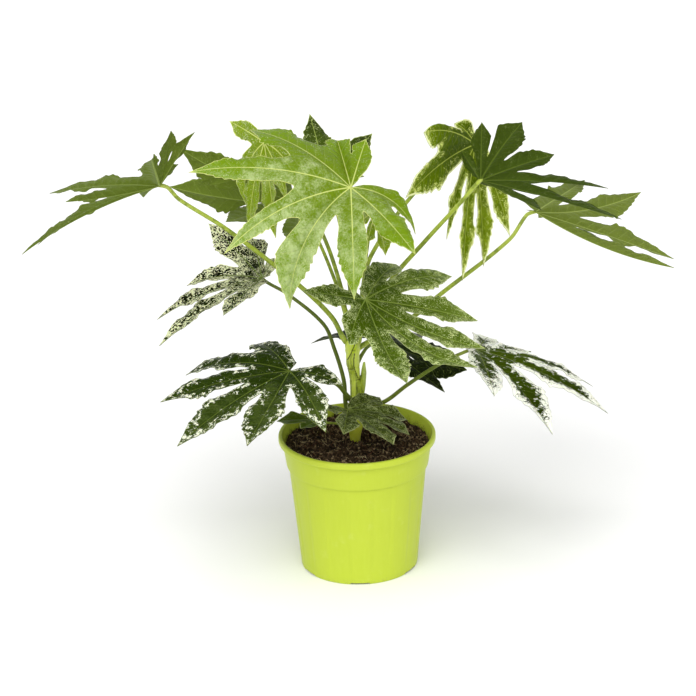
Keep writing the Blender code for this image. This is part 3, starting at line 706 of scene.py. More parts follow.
# %% Compost
soil_finish, soil_shader, sheet = new_finish("compost", Specular_IOR_Level=0.15)
tint = sheet.field("tint")
place = millimetres(sheet)
speck = place.cloud(0.8, 4.0, 0.7)
damp = place.cloud(24.0, 2.0)
brown = (tint * 0.55 + speck * 0.6 - damp * 0.12).ramp(
    (0.0, 8, 4, 0), (0.42, 28, 19, 9), (0.57, 80, 60, 40), (0.76, 190, 166, 130))
brown = brown.coats((tint.rise(1.0, 1.3), (104, 58, 36)), (tint.rise(1.55, 1.95), (206, 190, 146)))
plug(soil_shader, Base_Color=brown, Roughness=0.98 - damp * 0.25,
     Normal=bumped(speck * 0.8 + place.cloud(0.35, 3.0, 0.7) * 0.3))
soil_mesh = make_mesh("potting_soil", soil_points, soil_faces, {"tint": soil_tint})
make_piece("potting_soil", soil_mesh, soil_finish, "soil")
print("soil faces:", len(soil_mesh.polygons))

# %% [markdown]
# ## Sixteen leaves
# A fatsia leaf is a hand: fingers, called lobes, round a hub where the stalk comes in. Each finger is
# written down as an angle round the hub, a length, its lift off the leaf's plane, how far it droops by
# its tip, its twist and its relative width. The same values built the plain solids, so the fine leaves
# lie exactly over them.


# %% What a leaf is made of
class Lobe(NamedTuple):
    """One finger of a leaf: angle round the hub from its downhill side, and length. lift: off the
    leaf's plane. droop: how far it bends down by its tip. width: against the leaf's other lobes.
    bay: how far out the bay after this lobe lies, against what the widths ask for."""
    angle: float
    length: float
    lift: float = 0.0
    droop: float = 10.0
    twist: float = 0.0
    width: float = 1.0
    bay: float = 1.0


class Stalk(NamedTuple):
    """A petiole: where on the stem its base clasps, its radius, the slope at which it meets the
    blade and the places on its way there."""
    height: float
    side: float
    radius: float
    slope: float
    via: tuple


class Leaf(NamedTuple):
    """hub: where the petiole meets the blade. heading: the compass direction in which the blade
    leans. tilt: of its plane. width: of its longest lobe."""
    hub: tuple
    heading: float
    tilt: float
    width: float
    lobes: tuple
    stalk: Stalk
    finish: str


# %% The leaves' values
LEAVES = {
    "crown_front": Leaf((-1, -100, 468), -78, 21, 43, (
        Lobe(-204, 72, 9, 7, 0, 1, 1.7), Lobe(-183, 86, -3, 5, 0, 1.2, 1.9),
        Lobe(-145, 141, 19, 45, 0, 1, 1.9), Lobe(-107, 171, 20, 36, 0, 0.6, 1.85),
        Lobe(-82, 153, 6, 45, 0, 0.45, 1.3), Lobe(-58, 152, -5, 75, 0, 1.15, 1.1),
        Lobe(-11, 131, 6, 75, 0, 1.05), Lobe(27, 110, 4, 21, 0, 1, 1.8), Lobe(77, 90, 4, 75)),
        Stalk(274, -95, 2.3, 50, ((1, 4, 326), (2, -30, 395), (1, -68, 436))), "lime"),
    "crown_left": Leaf((-91, 30, 474), -130, 50, 32, (
        Lobe(-107, 73, -10, 7, 0, 0.75), Lobe(-60, 100, -25, 80), Lobe(-18, 112, -30, 45),
        Lobe(19, 107, -30, 30), Lobe(53, 70, -10, 40), Lobe(84, 68, 5, 70)),
        Stalk(270, 178, 2.1, 45, ((-13, 28, 307), (-29, 28, 363), (-60, 34, 430))), "young"),
    "crown_back": Leaf((-25, 60, 419), -92, 16, 28, (
        Lobe(118, 44, -6, 10), Lobe(155, 109, -4, 0), Lobe(192, 106, 9, 0), Lobe(226, 84, -6, 0),
        Lobe(258, 34, -6, 10)), Stalk(282, 110, 2.0, 50, ((-6, 42, 322), (-13, 50, 372))), "olive"),
    "crown_young": Leaf((25, -45, 422), -37, 56, 20, (
        Lobe(-92, 32, 6, 20), Lobe(-58, 41, 0, 20), Lobe(-20, 49, 0, 20), Lobe(16, 41, 4, 20),
        Lobe(53, 30, 6, 20)), Stalk(286, -40, 1.5, 50, ((12, 8, 336), (18, -12, 384))), "young"),
    "left_back": Leaf((-58, 100, 382), 59, 40, 45, (
        Lobe(20, 136, -12, 0), Lobe(64, 130, -8, 3), Lobe(103, 143, -16, -17, 30),
        Lobe(139, 149, -8, -18, 30), Lobe(180, 80, 0, 0), Lobe(215, 58, 0, 0)),
        Stalk(256, 138, 1.9, 40, ((-17, 42, 302), (-34, 66, 342))), "olive"),
    "left_high": Leaf((-202, 5, 438), 145, 37, 40, (
        Lobe(-30, 60, 11, 20), Lobe(15, 190, 15, 20, 0, 0.65), Lobe(34, 150, 21, 33, 0, 0.85),
        Lobe(66, 108, 13, -9, 0, 1.3, 1.5), Lobe(100, 174, 18, 14, 0, 1, 1.3),
        Lobe(135, 120, 8, 0, 0, 1, 1.4), Lobe(168, 82, 33, 26), Lobe(198, 71, 26, 15),
        Lobe(230, 32, 26, 29)),
        Stalk(240, 187, 2.4, 35, ((-24, 25, 276), (-58, 21, 315), (-132, 13, 383), (-182, 7, 421))), "olive"),
    "left_mid": Leaf((-99, 70, 305), -168, 8, 34, (
        Lobe(-128, 36, 15, 0, 0, 1, 1.4), Lobe(-98, 90, 22, 29, 0, 1.15, 1.6), Lobe(-75, 125, 18, 8, 0, 0.85),
        Lobe(-45, 105, 6, 31), Lobe(-12, 125, 1, 29), Lobe(23, 143, 1, 24), Lobe(56, 104, 7, 9)),
        Stalk(160, 180, 2.1, 35, ((-13, 28, 202), (-22, 36, 234), (-33, 42, 261), (-70, 58, 290))),
        "speckled"),
    "left_low": Leaf((-70, -50, 246), -159, 9, 42, (
        Lobe(-92, 104, 13, 35, 0, 1, 1.5), Lobe(-54, 140, 12, 40), Lobe(-15, 141, 7, 18, 0, 1.05),
        Lobe(19, 159, 4, 21), Lobe(50, 143, -5, 0), Lobe(90, 112, 2, 34), Lobe(123, 72, 9, 27, 0, 1.1)),
        Stalk(175, -131, 2.2, 45, ((-20, 8, 205), (-46, -24, 230))), "dark_flecked"),
    "centre_front": Leaf((12, -70, 333), -46, 32, 45, (
        Lobe(-108, 86, 13, 0, 0, 0.8), Lobe(-64, 62, 6, 46, 0, 1.2, 2.0), Lobe(-22, 147, -5, -41, 0, 0.8),
        Lobe(3, 168, -4, -54, 0, 0.6), Lobe(25, 138, -2, -28, 0, 0.8), Lobe(58, 128, 4, 10),
        Lobe(96, 134, 8, 31), Lobe(120, 97, 2, 30)), Stalk(246, -80, 2.3, 50, ((4, 0, 280), (8, -38, 312))),
        "mottled"),
    "centre_back": Leaf((22, 70, 234), 6, 10, 36, (
        Lobe(-38, 101, -19, 0, 20, 0.8), Lobe(0, 112, -22, -18, 30, 1.3), Lobe(50, 108, -10, 5),
        Lobe(98, 96, -4, 20), Lobe(145, 83, -10, 26)), Stalk(212, 60, 1.9, 45, ((12, 52, 228),)), "dark"),
    "right_low": Leaf((129, 0, 246), -1, 21, 44, (
        Lobe(-86, 113, 14, 33), Lobe(-54, 145, 6, 32, 0, 1.25), Lobe(-9, 159, 8, 26), Lobe(18, 150, 8, 27),
        Lobe(45, 98, -3, 4), Lobe(75, 85, -10, -3), Lobe(112, 40, -4, -5)),
        Stalk(160, -12, 2.1, 35, ((32, 23, 178), (55, 18, 198), (91, 9, 226))), "white_edged"),
    "right_high": Leaf((136, 0, 438), 63, 46, 40, (
        Lobe(-203, 41, 19, 0), Lobe(-168, 81, 21, -9), Lobe(-147, 114, 20, 18), Lobe(-115, 97, 17, 9, 0, 1.1),
        Lobe(-83, 135, 14, 12, 25), Lobe(-52, 162, 11, 6, 20), Lobe(-28, 90, 7, 0, 15)),
        Stalk(252, -10, 2.4, 35, ((37, 25, 313), (78, 20, 364), (115, 6, 411))), "deep_olive"),
    "right_drooping": Leaf((133, 75, 451), -45, 76, 34, (
        Lobe(-154, 46, 6, 64, 0, 1.4, 1.8), Lobe(-127, 110, 16, 40, 0, 1.35, 1.75),
        Lobe(-93, 147, 14, 24, 0, 1.15), Lobe(-52, 114, 0, 50, 0, 0.8), Lobe(-25, 154, -1, 35, 0, 0.8),
        Lobe(-3, 150, -3, 45, 0, 0.9), Lobe(20, 118, 3, 31, 0, 0.9)),
        Stalk(266, 22, 2.2, 45, ((9, 32, 300), (20, 38, 342), (73, 62, 409))), "yellow"),
    "right_far": Leaf((202, 160, 343), 62, 34, 38, (
        Lobe(-141, 164, 5, 0, 0, 0.8), Lobe(-112, 170, -2, -22), Lobe(-85, 168, -7, 4),
        Lobe(-52, 170, -17, -28), Lobe(-20, 139, -2, -7), Lobe(4, 135, 9, 10)),
        Stalk(230, 33, 2.4, 35, ((63, 63, 259), (94, 85, 276), (172, 140, 317))), "pale_olive"),
    "base_front": Leaf((-9, -22, 188), 1, 17, 34, (
        Lobe(-131, 41, 14, 10, 0, 1.1, 1.2), Lobe(-98, 62, 6, 20, 0, 1, 1.2), Lobe(-52, 77, 8, 20, 0, 1, 1.3),
        Lobe(-18, 72, 8, 20, 0, 1, 1.3), Lobe(18, 72, 7, 20, 0, 1, 1.3), Lobe(50, 54, 12, 10, 0, 1.1)),
        Stalk(150, -100, 1.6, 50, ((-6, 4, 170),)), "dusky"),
    "base_left": Leaf((-37, -4, 169), 179, 2, 26, (
        Lobe(-54, 30, 4, 0, 0, 0.9, 1.6), Lobe(-8, 50, 3, 10, 0, 1.1, 1.6), Lobe(32, 28, 0, 10, 0, 0.9)),
        Stalk(141, -150, 1.4, 45, ((-20, 10, 158),)), "shaded"),
}
print(len(LEAVES), "leaves with", sum(len(leaf.lobes) for leaf in LEAVES.values()), "lobes")

# %% [markdown]
# ## The stem
# The stem is short and green, with a knee where it was once bent, a bulb where it leaves the soil and a
# small side shoot. Each stalk grows out of it with a clasping foot. Separate tubes would show a hard
# seam at every joint, so all tubes are melted into one skin by a voxel remesh and then relaxed.

# %% The stem's centre line and the stalks' feet
STEM_TOP = 286.0
STEM_DEPTH = 30.0
STEM_LEAN = 3.0
KNEE_SIZE, KNEE_HEIGHT, KNEE_REACH = 3.0, 226.0, 16.0
BASE_RISE = 40.0              # the slope at which a stalk leaves its clasping base
BASE_REACH = 3.0              # how far the base stands off the stem, besides the stalk's own width
BUD_TOP = 299.0
# heights and radii of the stem: the bulb, the thin part, the knee and the end bud
STEM_RADII = ((100, 6.0), (135, 5.8), (141, 7.0), (147, 8.3), (154, 8.2), (161, 6.6), (168, 5.6), (190, 5.4),
              (212, 6.0), (222, 7.0), (232, 6.4), (246, 6.4), (260, 6.6), (276, 6.0), (286, 5.0), (294, 3.2),
              (BUD_TOP, 1.0))
SIDE_SHOOT = (((1.0, 26.5, 166.0), 2.2), ((4.6, 25.5, 176.0), 2.0), ((7.6, 24.5, 194.0), 2.8),
              ((8.8, 24.0, 212.0), 3.2), ((9.6, 24.0, 224.0), 1.2))


def stem_centre(height):
    """The stem leans a little and has a knee half way up."""
    share = (height - SOIL_TOP) / (STEM_TOP - SOIL_TOP)
    knee = KNEE_SIZE * math.exp(-((height - KNEE_HEIGHT) / KNEE_REACH) ** 2)
    return Vector((STEM_FOOT[0] + STEM_LEAN * share - knee, STEM_FOOT[1], height))


def petiole_start(leaf):
    """Where a leaf's petiole leaves its clasping base on the stem, and in which direction."""
    centre = stem_centre(leaf.stalk.height)
    away = direction(leaf.stalk.side, BASE_RISE)
    return centre + away * (STEM_RADIUS + BASE_REACH + 2 * leaf.stalk.radius), away


# %% Tubes melted into one skin
STEM_SIDES, FOOT_SIDES = 32, 20
FOOT_DROP = 15.0              # how far below its stalk a clasping foot starts
# how far along its foot a stalk has which thickness, against the stalk's own
FOOT_AT, FOOT_SIZES = (0, 0.45, 0.75, 1), (2.3, 1.6, 1.16)
FOOT_START = 3.6

stem_points, stem_faces = [], []
heights = np.arange(SOIL_TOP - STEM_DEPTH, BUD_TOP + 0.1, 3.0)
stations, station_radii = zip(*STEM_RADII)
spine = [Vector((*stem_centre(max(h, SOIL_TOP)).xy, h)) for h in heights]
join(stem_points, stem_faces, *tube(spine, np.interp(heights, stations, station_radii), STEM_SIDES))
shoot = smooth_path([place for place, _ in SIDE_SHOOT], 3.0)
shoot_radii = np.interp([p.z for p in shoot], [p[2] for p, _ in SIDE_SHOOT], [r for _, r in SIDE_SHOOT])
join(stem_points, stem_faces, *tube(shoot, shoot_radii, FOOT_SIDES))
for leaf in LEAVES.values():
    start, away = petiole_start(leaf)
    thick = leaf.stalk.radius
    level = direction(leaf.stalk.side, 0)
    low = max(leaf.stalk.height - FOOT_DROP, SOIL_TOP + 3.0)
    foot = [stem_centre(low), stem_centre(leaf.stalk.height - 4.0) + level * 2.4,
            start.lerp(stem_centre(leaf.stalk.height), 0.45), start]
    line = smooth_path(foot, 2.5)
    sizes = (FOOT_START, *(size * thick for size in FOOT_SIZES))
    sizes = np.interp(np.linspace(0, 1, len(line)), FOOT_AT, sizes)
    join(stem_points, stem_faces, *tube(line, sizes, FOOT_SIDES, end=away))

lump = new_object("stem lump", make_mesh("stem lump", stem_points, stem_faces))
melt = lump.modifiers.new("melt", "REMESH")
melt.mode = "VOXEL"
melt.voxel_size = 0.75 * MM
relax = lump.modifiers.new("relax", "SMOOTH")
relax.factor = 0.5
relax.iterations = 5
stem_mesh = settled(lump)
print("stem faces:", len(stem_mesh.polygons))

# %% Sheaths, the bud and the rings where older leaves fell
SCARS = (163.0, 178.0, 203.0, 217.0, 239.0, 262.0)
SCAR_DEPTH = 0.45
SCAR_WIDTH = 1.1
SCAR_WAVE = 0.9
# side, lowest place, top and half spread in degrees of each old sheath that still clasps the stem
SHEATHS = ((214.0, 227.0, 284.0, 60.0), (318.0, 204.0, 246.0, 40.0), (256.0, 168.0, 212.0, 30.0))
SHEATH_THICKNESS = 1.0
SHEATH_EDGE = 9.0
BUD_SIDE, BUD_HEIGHT = 268.0, 242.0
BUD_WIDTH, BUD_LENGTH, BUD_SWELL = 2.9, 6.5, 1.7
BUD_RADIUS = 6.5              # of the stem there
BARK_REACH = 9.0              # what lies further out belongs to the stalks' feet

count = len(stem_mesh.vertices)
places = np.empty(count * 3, np.float32)
stem_mesh.vertices.foreach_get("co", places)
skin = (places.reshape(-1, 3) - POT_PLACE) / MM
middle = np.array([stem_centre(z)[:2] for z in skin[:, 2]])
outward = skin[:, :2] - middle
reach = np.linalg.norm(outward, axis=1)
compass = np.degrees(np.arctan2(outward[:, 1], outward[:, 0]))
wavy = skin[:, 2] + SCAR_WAVE * np.sin(np.radians(compass * 2))
scar = sum(np.exp(-((wavy - level) / SCAR_WIDTH) ** 2) for level in SCARS)
sheath, seam = np.zeros(count), np.zeros(count)
for side, low, top, spread in SHEATHS:
    turn = np.abs((compass - side + 180) % 360 - 180)
    climb = (skin[:, 2] - low) / (top - low)
    inside = (spread * np.sqrt(np.clip(climb * 3, 0, 1)) - turn) / SHEATH_EDGE
    inside = np.clip(inside, 0, 1) * np.clip((1 - climb) * 4, 0, 1) * (climb > 0)
    sheath = np.maximum(sheath, inside)
    # a dark line along each sheath's edge: painted shade where the sheath stands off the stem
    seam = np.maximum(seam, 4 * inside * (1 - inside) * (climb < 0.75))
across = np.radians((compass - BUD_SIDE + 180) % 360 - 180) * BUD_RADIUS
bud = np.sqrt(np.clip(1 - (across / BUD_WIDTH) ** 2 - ((skin[:, 2] - BUD_HEIGHT) / BUD_LENGTH) ** 2, 0, 1))
near = reach < BARK_REACH
push = (SHEATH_THICKNESS * ease(sheath) + BUD_SWELL * bud - SCAR_DEPTH * scar) * near
skin[:, :2] += outward / reach[:, None] * push[:, None]
stem_mesh.vertices.foreach_set("co", (skin * MM + POT_PLACE).astype(np.float32).ravel())
add_fields(stem_mesh, {"scar": scar * near * (sheath < 0.5), "sheath": sheath * near, "seam": seam * near,
                       "bud": bud * near, "reach": reach})
stem_mesh.shade_smooth()
print("stem's skin has", int((sheath > 0.5).sum()), "places under a sheath")

# %% [markdown]
# The stem is yellow-green at its bulb and streaked with a darker green above it. The sheaths and the feet
# of the stalks are paler, with a dark line of painted shade along each sheath's edge, and the young bud is
# the brightest green of all. Thin brown lines mark the leaf scars, and small pale pores are scattered between
# them.

# %% Stem skin
STEM_LENGTH = 170.0
stem_finish, stem_shader, sheet = new_finish(
    "stem skin", Subsurface_Weight=0.12, Subsurface_Radius=(1.0, 1.0, 0.4), Subsurface_Scale=0.0015)
place = millimetres(sheet)
climb = (place.axis("Z") - SOIL_TOP) / STEM_LENGTH
streaks = place.stretch((1.0, 1.0, 0.12)).cloud(1.6, 3.0, 0.6)
blotch = place.cloud(7.0, 3.0)
pores = place.stretch((1.0, 1.0, 0.7)).cloud(1.1, 1.0).rise(0.64, 0.70)
green = (climb + (blotch - 0.5) * 0.08).ramp(
    (0.0, 206, 214, 60), (0.10, 236, 244, 76), (0.18, 226, 238, 72), (0.26, 166, 184, 44),
    (0.52, 168, 186, 40), (0.60, 196, 212, 68), (0.72, 172, 192, 52), (1.0, 158, 180, 60))
line = sheet.field("scar").rise(0.55, 0.95)
green = green.coats(
    (streaks.rise(0.46, 0.60) * 0.7 * climb.rise(0.18, 0.26), (84, 100, 10)),
    (sheet.field("sheath") * 0.85, (206, 222, 80)),
    (sheet.field("bud").rise(0.1, 0.5), (184, 206, 20)),
    # painted shade along the sheaths' edges
    (sheet.field("seam").rise(0.15, 0.6) * 0.95, (52, 64, 6)),
    (blotch.rise(0.55, 0.7) * 0.3, (206, 214, 130)),
    (sheet.field("reach").rise(BARK_REACH, 13.0) * 0.6, (172, 192, 92)),
    (pores * 0.4, (205, 208, 150)),
    (line * 0.7, (96, 92, 36)))
plug(stem_shader, Base_Color=green, Roughness=0.40 + blotch * 0.1 + line * 0.2,
     Normal=bumped(streaks * 0.22 - line * 0.15 + pores * 0.12))
make_piece("plant_stem", stem_mesh, stem_finish, "stem")

# %% [markdown]
# ## The petioles
# A petiole is a long round stalk, swollen at its foot and a little where it spreads into the blade. A
# bevelled curve would do, but its head has to be cut along the blade, so it is a tube along the same
# smooth line as its solid, and its end is cut flat along the blade, just under the blade's upper face.

# %% The petioles' paths
PETIOLE_STEP = 4.5
PETIOLE_SIDES = 16
USUAL_RADIUS = 2.2
BASE_SINK = 2.5               # how far inside its base a petiole starts
HEAD_DEPTH = 0.3              # how far its head stays below the blade's upper face
HEAD_RUN = 9                  # the straight stretch before the head, for a usual radius
PAST_ENDS = 20
UPPER_STALK_SHADE = 0.15
# how much painted shade a stalk carries, by its leaf's kind: the lowest leaves' stalks lie under the crown;
# the others carry a little
STALK_SHADE = {"speckled": 1.0, "dark_flecked": 0.8, "white_edged": 0.7, "dark": 0.6, "dusky": 0.5}


def petiole_path(leaf):
    """The petiole's centre line, from inside its base by way of its places to just under the blade."""
    start, away = petiole_start(leaf)
    normal = direction(leaf.heading, 90 - leaf.tilt)
    lowest = min(lobe.lift for lobe in leaf.lobes)
    clear = HEAD_DEPTH + leaf.stalk.radius * math.tan(math.radians(max(0.0, -lowest)))
    end = Vector(leaf.hub) - normal * clear
    back = Vector(leaf.stalk.via[-1]) - end
    level = (back - normal * back.dot(normal)).normalized()
    slope = math.radians(leaf.stalk.slope)
    arrive = normal * math.sin(slope) - level * math.cos(slope)
    knots = [start - away * BASE_SINK] + [Vector(place) for place in leaf.stalk.via]
    knots += [end - arrive * HEAD_RUN * leaf.stalk.radius / USUAL_RADIUS, end]
    path = smooth_path(knots, PETIOLE_STEP, knots[0] - away * PAST_ENDS, end + arrive * PAST_ENDS)
    return path, away, arrive, normal


# %% Tubes for the petioles
PETIOLE_FOOT, PETIOLE_TAPER = 1.15, 0.3   # its thickness at the foot, and how much of that the head lacks
FOOT_SWELL, FOOT_SWELL_REACH = 0.20, 7
HEAD_SWELL, HEAD_SWELL_REACH = 0.16, 6


def petiole_mesh(name, leaf):
    """A tube that swells at both ends, with its head cut flat along the blade."""
    path, away, arrive, normal = petiole_path(leaf)
    done = np.concatenate(([0.0], np.cumsum([(b - a).length for a, b in zip(path, path[1:])])))
    share = done / done[-1]
    foot = FOOT_SWELL * np.exp(-(done / FOOT_SWELL_REACH) ** 2)
    top = HEAD_SWELL * np.exp(-((done[-1] - done) / HEAD_SWELL_REACH) ** 2)
    radii = leaf.stalk.radius * (PETIOLE_FOOT - PETIOLE_TAPER * share)
    radii *= 1 + foot + top
    points, faces = tube(path, radii, PETIOLE_SIDES, away, arrive)
    head = [Vector(point) for point in points[-PETIOLE_SIDES:]]
    end = path[-1]
    head = [point - arrive * ((point - end).dot(normal) / arrive.dot(normal)) for point in head]
    points[-PETIOLE_SIDES:] = [tuple(point) for point in head]
    # the stalk's painted shade, strongest low in the plant under the crown
    age = np.full(len(points), STALK_SHADE.get(leaf.finish, UPPER_STALK_SHADE))
    return make_mesh(name, points, faces, {"reach": np.repeat(share, PETIOLE_SIDES), "age": age})


# %% Petiole skin
petiole_finish, petiole_shader, sheet = new_finish(
    "petiole skin", Subsurface_Weight=0.14, Subsurface_Radius=(1.0, 1.0, 0.4), Subsurface_Scale=0.0012,
    Specular_IOR_Level=0.2)
place = millimetres(sheet)
share, age = sheet.field("reach"), sheet.field("age")
ribbed = place.stretch((1.0, 1.0, 0.25)).cloud(0.9, 2.0, 0.6)
blotch = place.cloud(11.0, 3.0, 0.55)
flecks = place.cloud(1.3, 2.0).rise(0.60, 0.68)
green = share.ramp((0.0, 176, 192, 70), (0.12, 148, 166, 38), (0.6, 152, 172, 42), (1.0, 188, 204, 84))
green = green.coats(
    (blotch.rise(0.45, 0.68) * 0.45, (122, 146, 40)),
    (ribbed.rise(0.4, 0.65) * 0.35, (196, 210, 116)),
    (flecks * 0.35, (214, 220, 170)),
    # painted shade: the lowest leaves' stalks are darkened, and their dark blotches spread further
    (age * 0.8, (78, 92, 30)),
    ((blotch + age * 0.2).rise(0.5, 0.62) * 0.35, (70, 88, 20)))
plug(petiole_shader, Base_Color=green, Roughness=0.36 + blotch * 0.2, Normal=bumped(ribbed * 0.18))
for name, leaf in LEAVES.items():
    mesh = petiole_mesh("stalk_" + name, leaf)
    make_piece("stalk_" + name, mesh, petiole_finish, "petiole_" + name)
print("petioles stand")

# %% [markdown]
# ## The blades
# A blade is laid out flat round its hub and then bent, finger by finger. Every half finger is a grid:
# columns run from the midrib to the margin, and rows lean forward as the side veins do. Where two
# fingers share the undivided palm their places coincide and are welded. The underside is the same grid,
# half a millimetre lower, and lower still under the midribs, which stand out there as round cords.


# %% A lobe's outline
LOBE_OUTLINE = ((0.0, 0.62), (0.15, 0.74), (0.38, 1.0), (0.56, 0.94), (0.74, 0.62), (0.87, 0.28), (1.0, 0.0))
OUTLINE_AT, OUTLINE_WIDTH = np.array(LOBE_OUTLINE).T
OUTLINE_SLOPE = np.gradient(OUTLINE_WIDTH, OUTLINE_AT)


def outline(share):
    """A lobe's half width at a share of its free length, as a smooth line through LOBE_OUTLINE."""
    i = np.clip(np.searchsorted(OUTLINE_AT, share, side="right") - 1, 0, len(OUTLINE_AT) - 2)
    span = OUTLINE_AT[i + 1] - OUTLINE_AT[i]
    t = (share - OUTLINE_AT[i]) / span
    low = (1 + 2 * t) * (1 - t) ** 2 * OUTLINE_WIDTH[i] + t * (1 - t) ** 2 * span * OUTLINE_SLOPE[i]
    high = t * t * (3 - 2 * t) * OUTLINE_WIDTH[i + 1] - t * t * (1 - t) * span * OUTLINE_SLOPE[i + 1]
    return np.maximum(low + high, 0.0)


print("a lobe is widest", round(float(OUTLINE_AT[OUTLINE_WIDTH.argmax()]), 2), "of its way out")


# %% [markdown]
# The palm is one bent sheet, so a place on it is found from the two lobes that it lies between: their
# directions and their bends are blended. Each lobe bends in the plane in which it hangs down.

# %% The blade's bent sheet
NOTCH = 0.7                   # half the least width of the bay between two lobes
SINUS_FILL = 0.72             # how much of a lobe's width the bay beside it leaves
BAY_NEAR, BAY_FAR = 0.22, 0.42    # how near the hub and how far out a bay may lie, by the shorter lobe
WIDTH_POWER = 0.6             # how strongly a short lobe is also a narrow one
GUIDE_APART = 60              # degrees from an end lobe to the sheet's last direction
END_SPREAD = 48               # degrees that the palm goes on past an end lobe, at most
END_GAP = 14                  # degrees left free on each side of the stalk
END_BAY, LEAST_END_BAY = 0.16, 10.0   # how far out the palm's end lies, by the end lobe's length


class Blade:
    """A leaf blade laid out flat round its hub and then bent: flat places are a distance from the
    hub and an angle round it, and every lobe has its own direction and its own bend."""

    def __init__(self, leaf):
        normal = np.array(direction(leaf.heading, 90 - leaf.tilt))
        downhill = np.array(direction(leaf.heading, -leaf.tilt))
        side = np.cross(normal, downhill)
        self.leaf = leaf
        self.hub = np.array(leaf.hub, float)
        first, last = leaf.lobes[0], leaf.lobes[-1]
        guides = (first._replace(angle=first.angle - GUIDE_APART, lift=0.3 * first.lift), *leaf.lobes,
                  last._replace(angle=last.angle + GUIDE_APART, lift=0.3 * last.lift))
        turn = np.radians([guide.angle for guide in guides])
        lift = np.radians([guide.lift for guide in guides])
        flat = np.cos(turn)[:, None] * downhill + np.sin(turn)[:, None] * side
        self.rays = np.cos(lift)[:, None] * flat + np.sin(lift)[:, None] * normal
        self.spread = np.arccos((self.rays[:-1] * self.rays[1:]).sum(1).clip(-1, 1))
        self.guides = np.concatenate(([0.0], np.cumsum(self.spread)))
        self.angles = self.guides[1:-1]
        self.lengths = np.array([lobe.length for lobe in leaf.lobes], float)
        self.bends = np.radians([guide.droop / guide.length for guide in guides])
        self.bends[np.abs(self.bends) < 1e-5] = 1e-5
        self.twists = np.radians([lobe.twist for lobe in leaf.lobes])
        self.half_widths = leaf.width / 2 * (self.lengths / self.lengths.max()) ** WIDTH_POWER
        self.half_widths *= [lobe.width for lobe in leaf.lobes]

    def place(self, radius, angle):
        """Where flat places come to lie."""
        radius, angle = np.broadcast_arrays(np.asarray(radius, float), np.asarray(angle, float))
        last = len(self.spread) - 1
        part = np.clip(np.searchsorted(self.guides, angle) - 1, 0, last)
        spread = self.spread[part]
        share = (angle - self.guides[part]) / spread
        before = np.sin((1 - share) * spread) / np.sin(spread)
        after = np.sin(share * spread) / np.sin(spread)
        ray = before[..., None] * self.rays[part] + after[..., None] * self.rays[part + 1]
        mix = ease(np.clip(share, 0, 1))
        bend = self.bends[part] * (1 - mix) + self.bends[part + 1] * mix
        down = np.array((0, 0, -1.0))
        sag = down - (ray @ down)[..., None] * ray
        turn = bend * radius
        out = np.where(np.abs(turn) < 1e-6, radius, np.sin(turn) / bend)
        drop = np.where(np.abs(turn) < 1e-6, 0.0, (1 - np.cos(turn)) / bend)
        return self.hub + out[..., None] * ray + drop[..., None] * sag

    def facing(self, radius, angle):
        """The blade's upward normal at flat places."""
        step = 0.01
        radius = np.maximum(np.asarray(radius, float), 0.5)
        outward = self.place(radius + step, angle) - self.place(radius - step, angle)
        round_hub = self.place(radius, angle + step) - self.place(radius, angle - step)
        found = np.cross(outward, round_hub)
        return found / np.linalg.norm(found, axis=-1, keepdims=True)

    def sinus(self, lobe, side):
        """Half the angle to the neighbour on one side, and how far out the bay between them lies."""
        other = lobe + side
        if 0 <= other < len(self.lengths):
            half = abs(self.angles[other] - self.angles[lobe]) / 2
            shorter = min(self.lengths[lobe], self.lengths[other])
            width = (self.half_widths[lobe] + self.half_widths[other]) / 2
            bay = self.leaf.lobes[min(lobe, other)].bay
            reach = bay * SINUS_FILL * width / math.sin(half)
            return half, min(max(reach, BAY_NEAR * shorter), BAY_FAR * shorter * max(1.0, bay))
        around = self.leaf.lobes[-1].angle - self.leaf.lobes[0].angle
        half = math.radians(min(END_SPREAD, (360 - around) / 2 - END_GAP))
        return half, max(LEAST_END_BAY, END_BAY * self.lengths[lobe])

    def half_width(self, lobe, side, share, tooth):
        """A lobe's half width from the bay at share 0 to the tip at share 1, and how far out it is."""
        half, reach = self.sinus(lobe, side)
        full = self.half_widths[lobe]
        start = reach * math.sin(half)
        width = outline(share) * full + (start - LOBE_OUTLINE[0][1] * full) * (1 - share) ** 6
        along = reach * math.cos(half) * (1 - share) + self.lengths[lobe] * share
        narrow = 1 - 0.06 * np.sqrt(np.minimum(1, share / 0.04))
        room = narrow * along * math.tan(min(half, 1.2)) - NOTCH * np.minimum(1.0, 12 * share)
        return along, np.maximum(np.minimum(width * tooth, room), 0.0)


# %% [markdown]
# The margin carries short teeth that point forward, fewer on short lobes, and each a little different.
# Between the side veins the blade puffs up, as a quilt does, and near the margin it ripples.

# %% Teeth, quilting and ripples
MARGIN_RISE = 0.28            # how steeply a lobe's halves rise from its midrib
MARGIN_CURL = 0.0086          # and how soon they bend down again, per millimetre
FLAT_HUB = 32.0               # how far round the hub the blade lies flatter
WAVE_LENGTH = 46.0
WAVE_HEIGHT = 2.2
TEETH_FROM, TEETH_TO = 0.16, 0.93
TOOTH_HEIGHT = 0.14
TOOTH_RISE, TOOTH_FALL = 0.78, 0.22   # shares of a tooth: its long back and its short front
VEIN_LEAN = 0.84              # how far forward a side vein runs for each millimetre sideways
VEIN_SPACING = 12.5
VEIN_SHIFT = 0.23             # veins leave the midrib in turn: one side's are shifted by twice this share
QUILT_HEIGHT = 1.2
QUILT_FADE = 7.0              # how far from the midrib and the margin the quilting is full
RIPPLE_LENGTH = 17.0
RIPPLE_HEIGHT = 0.8
RIB_SOFTNESS = 1.2


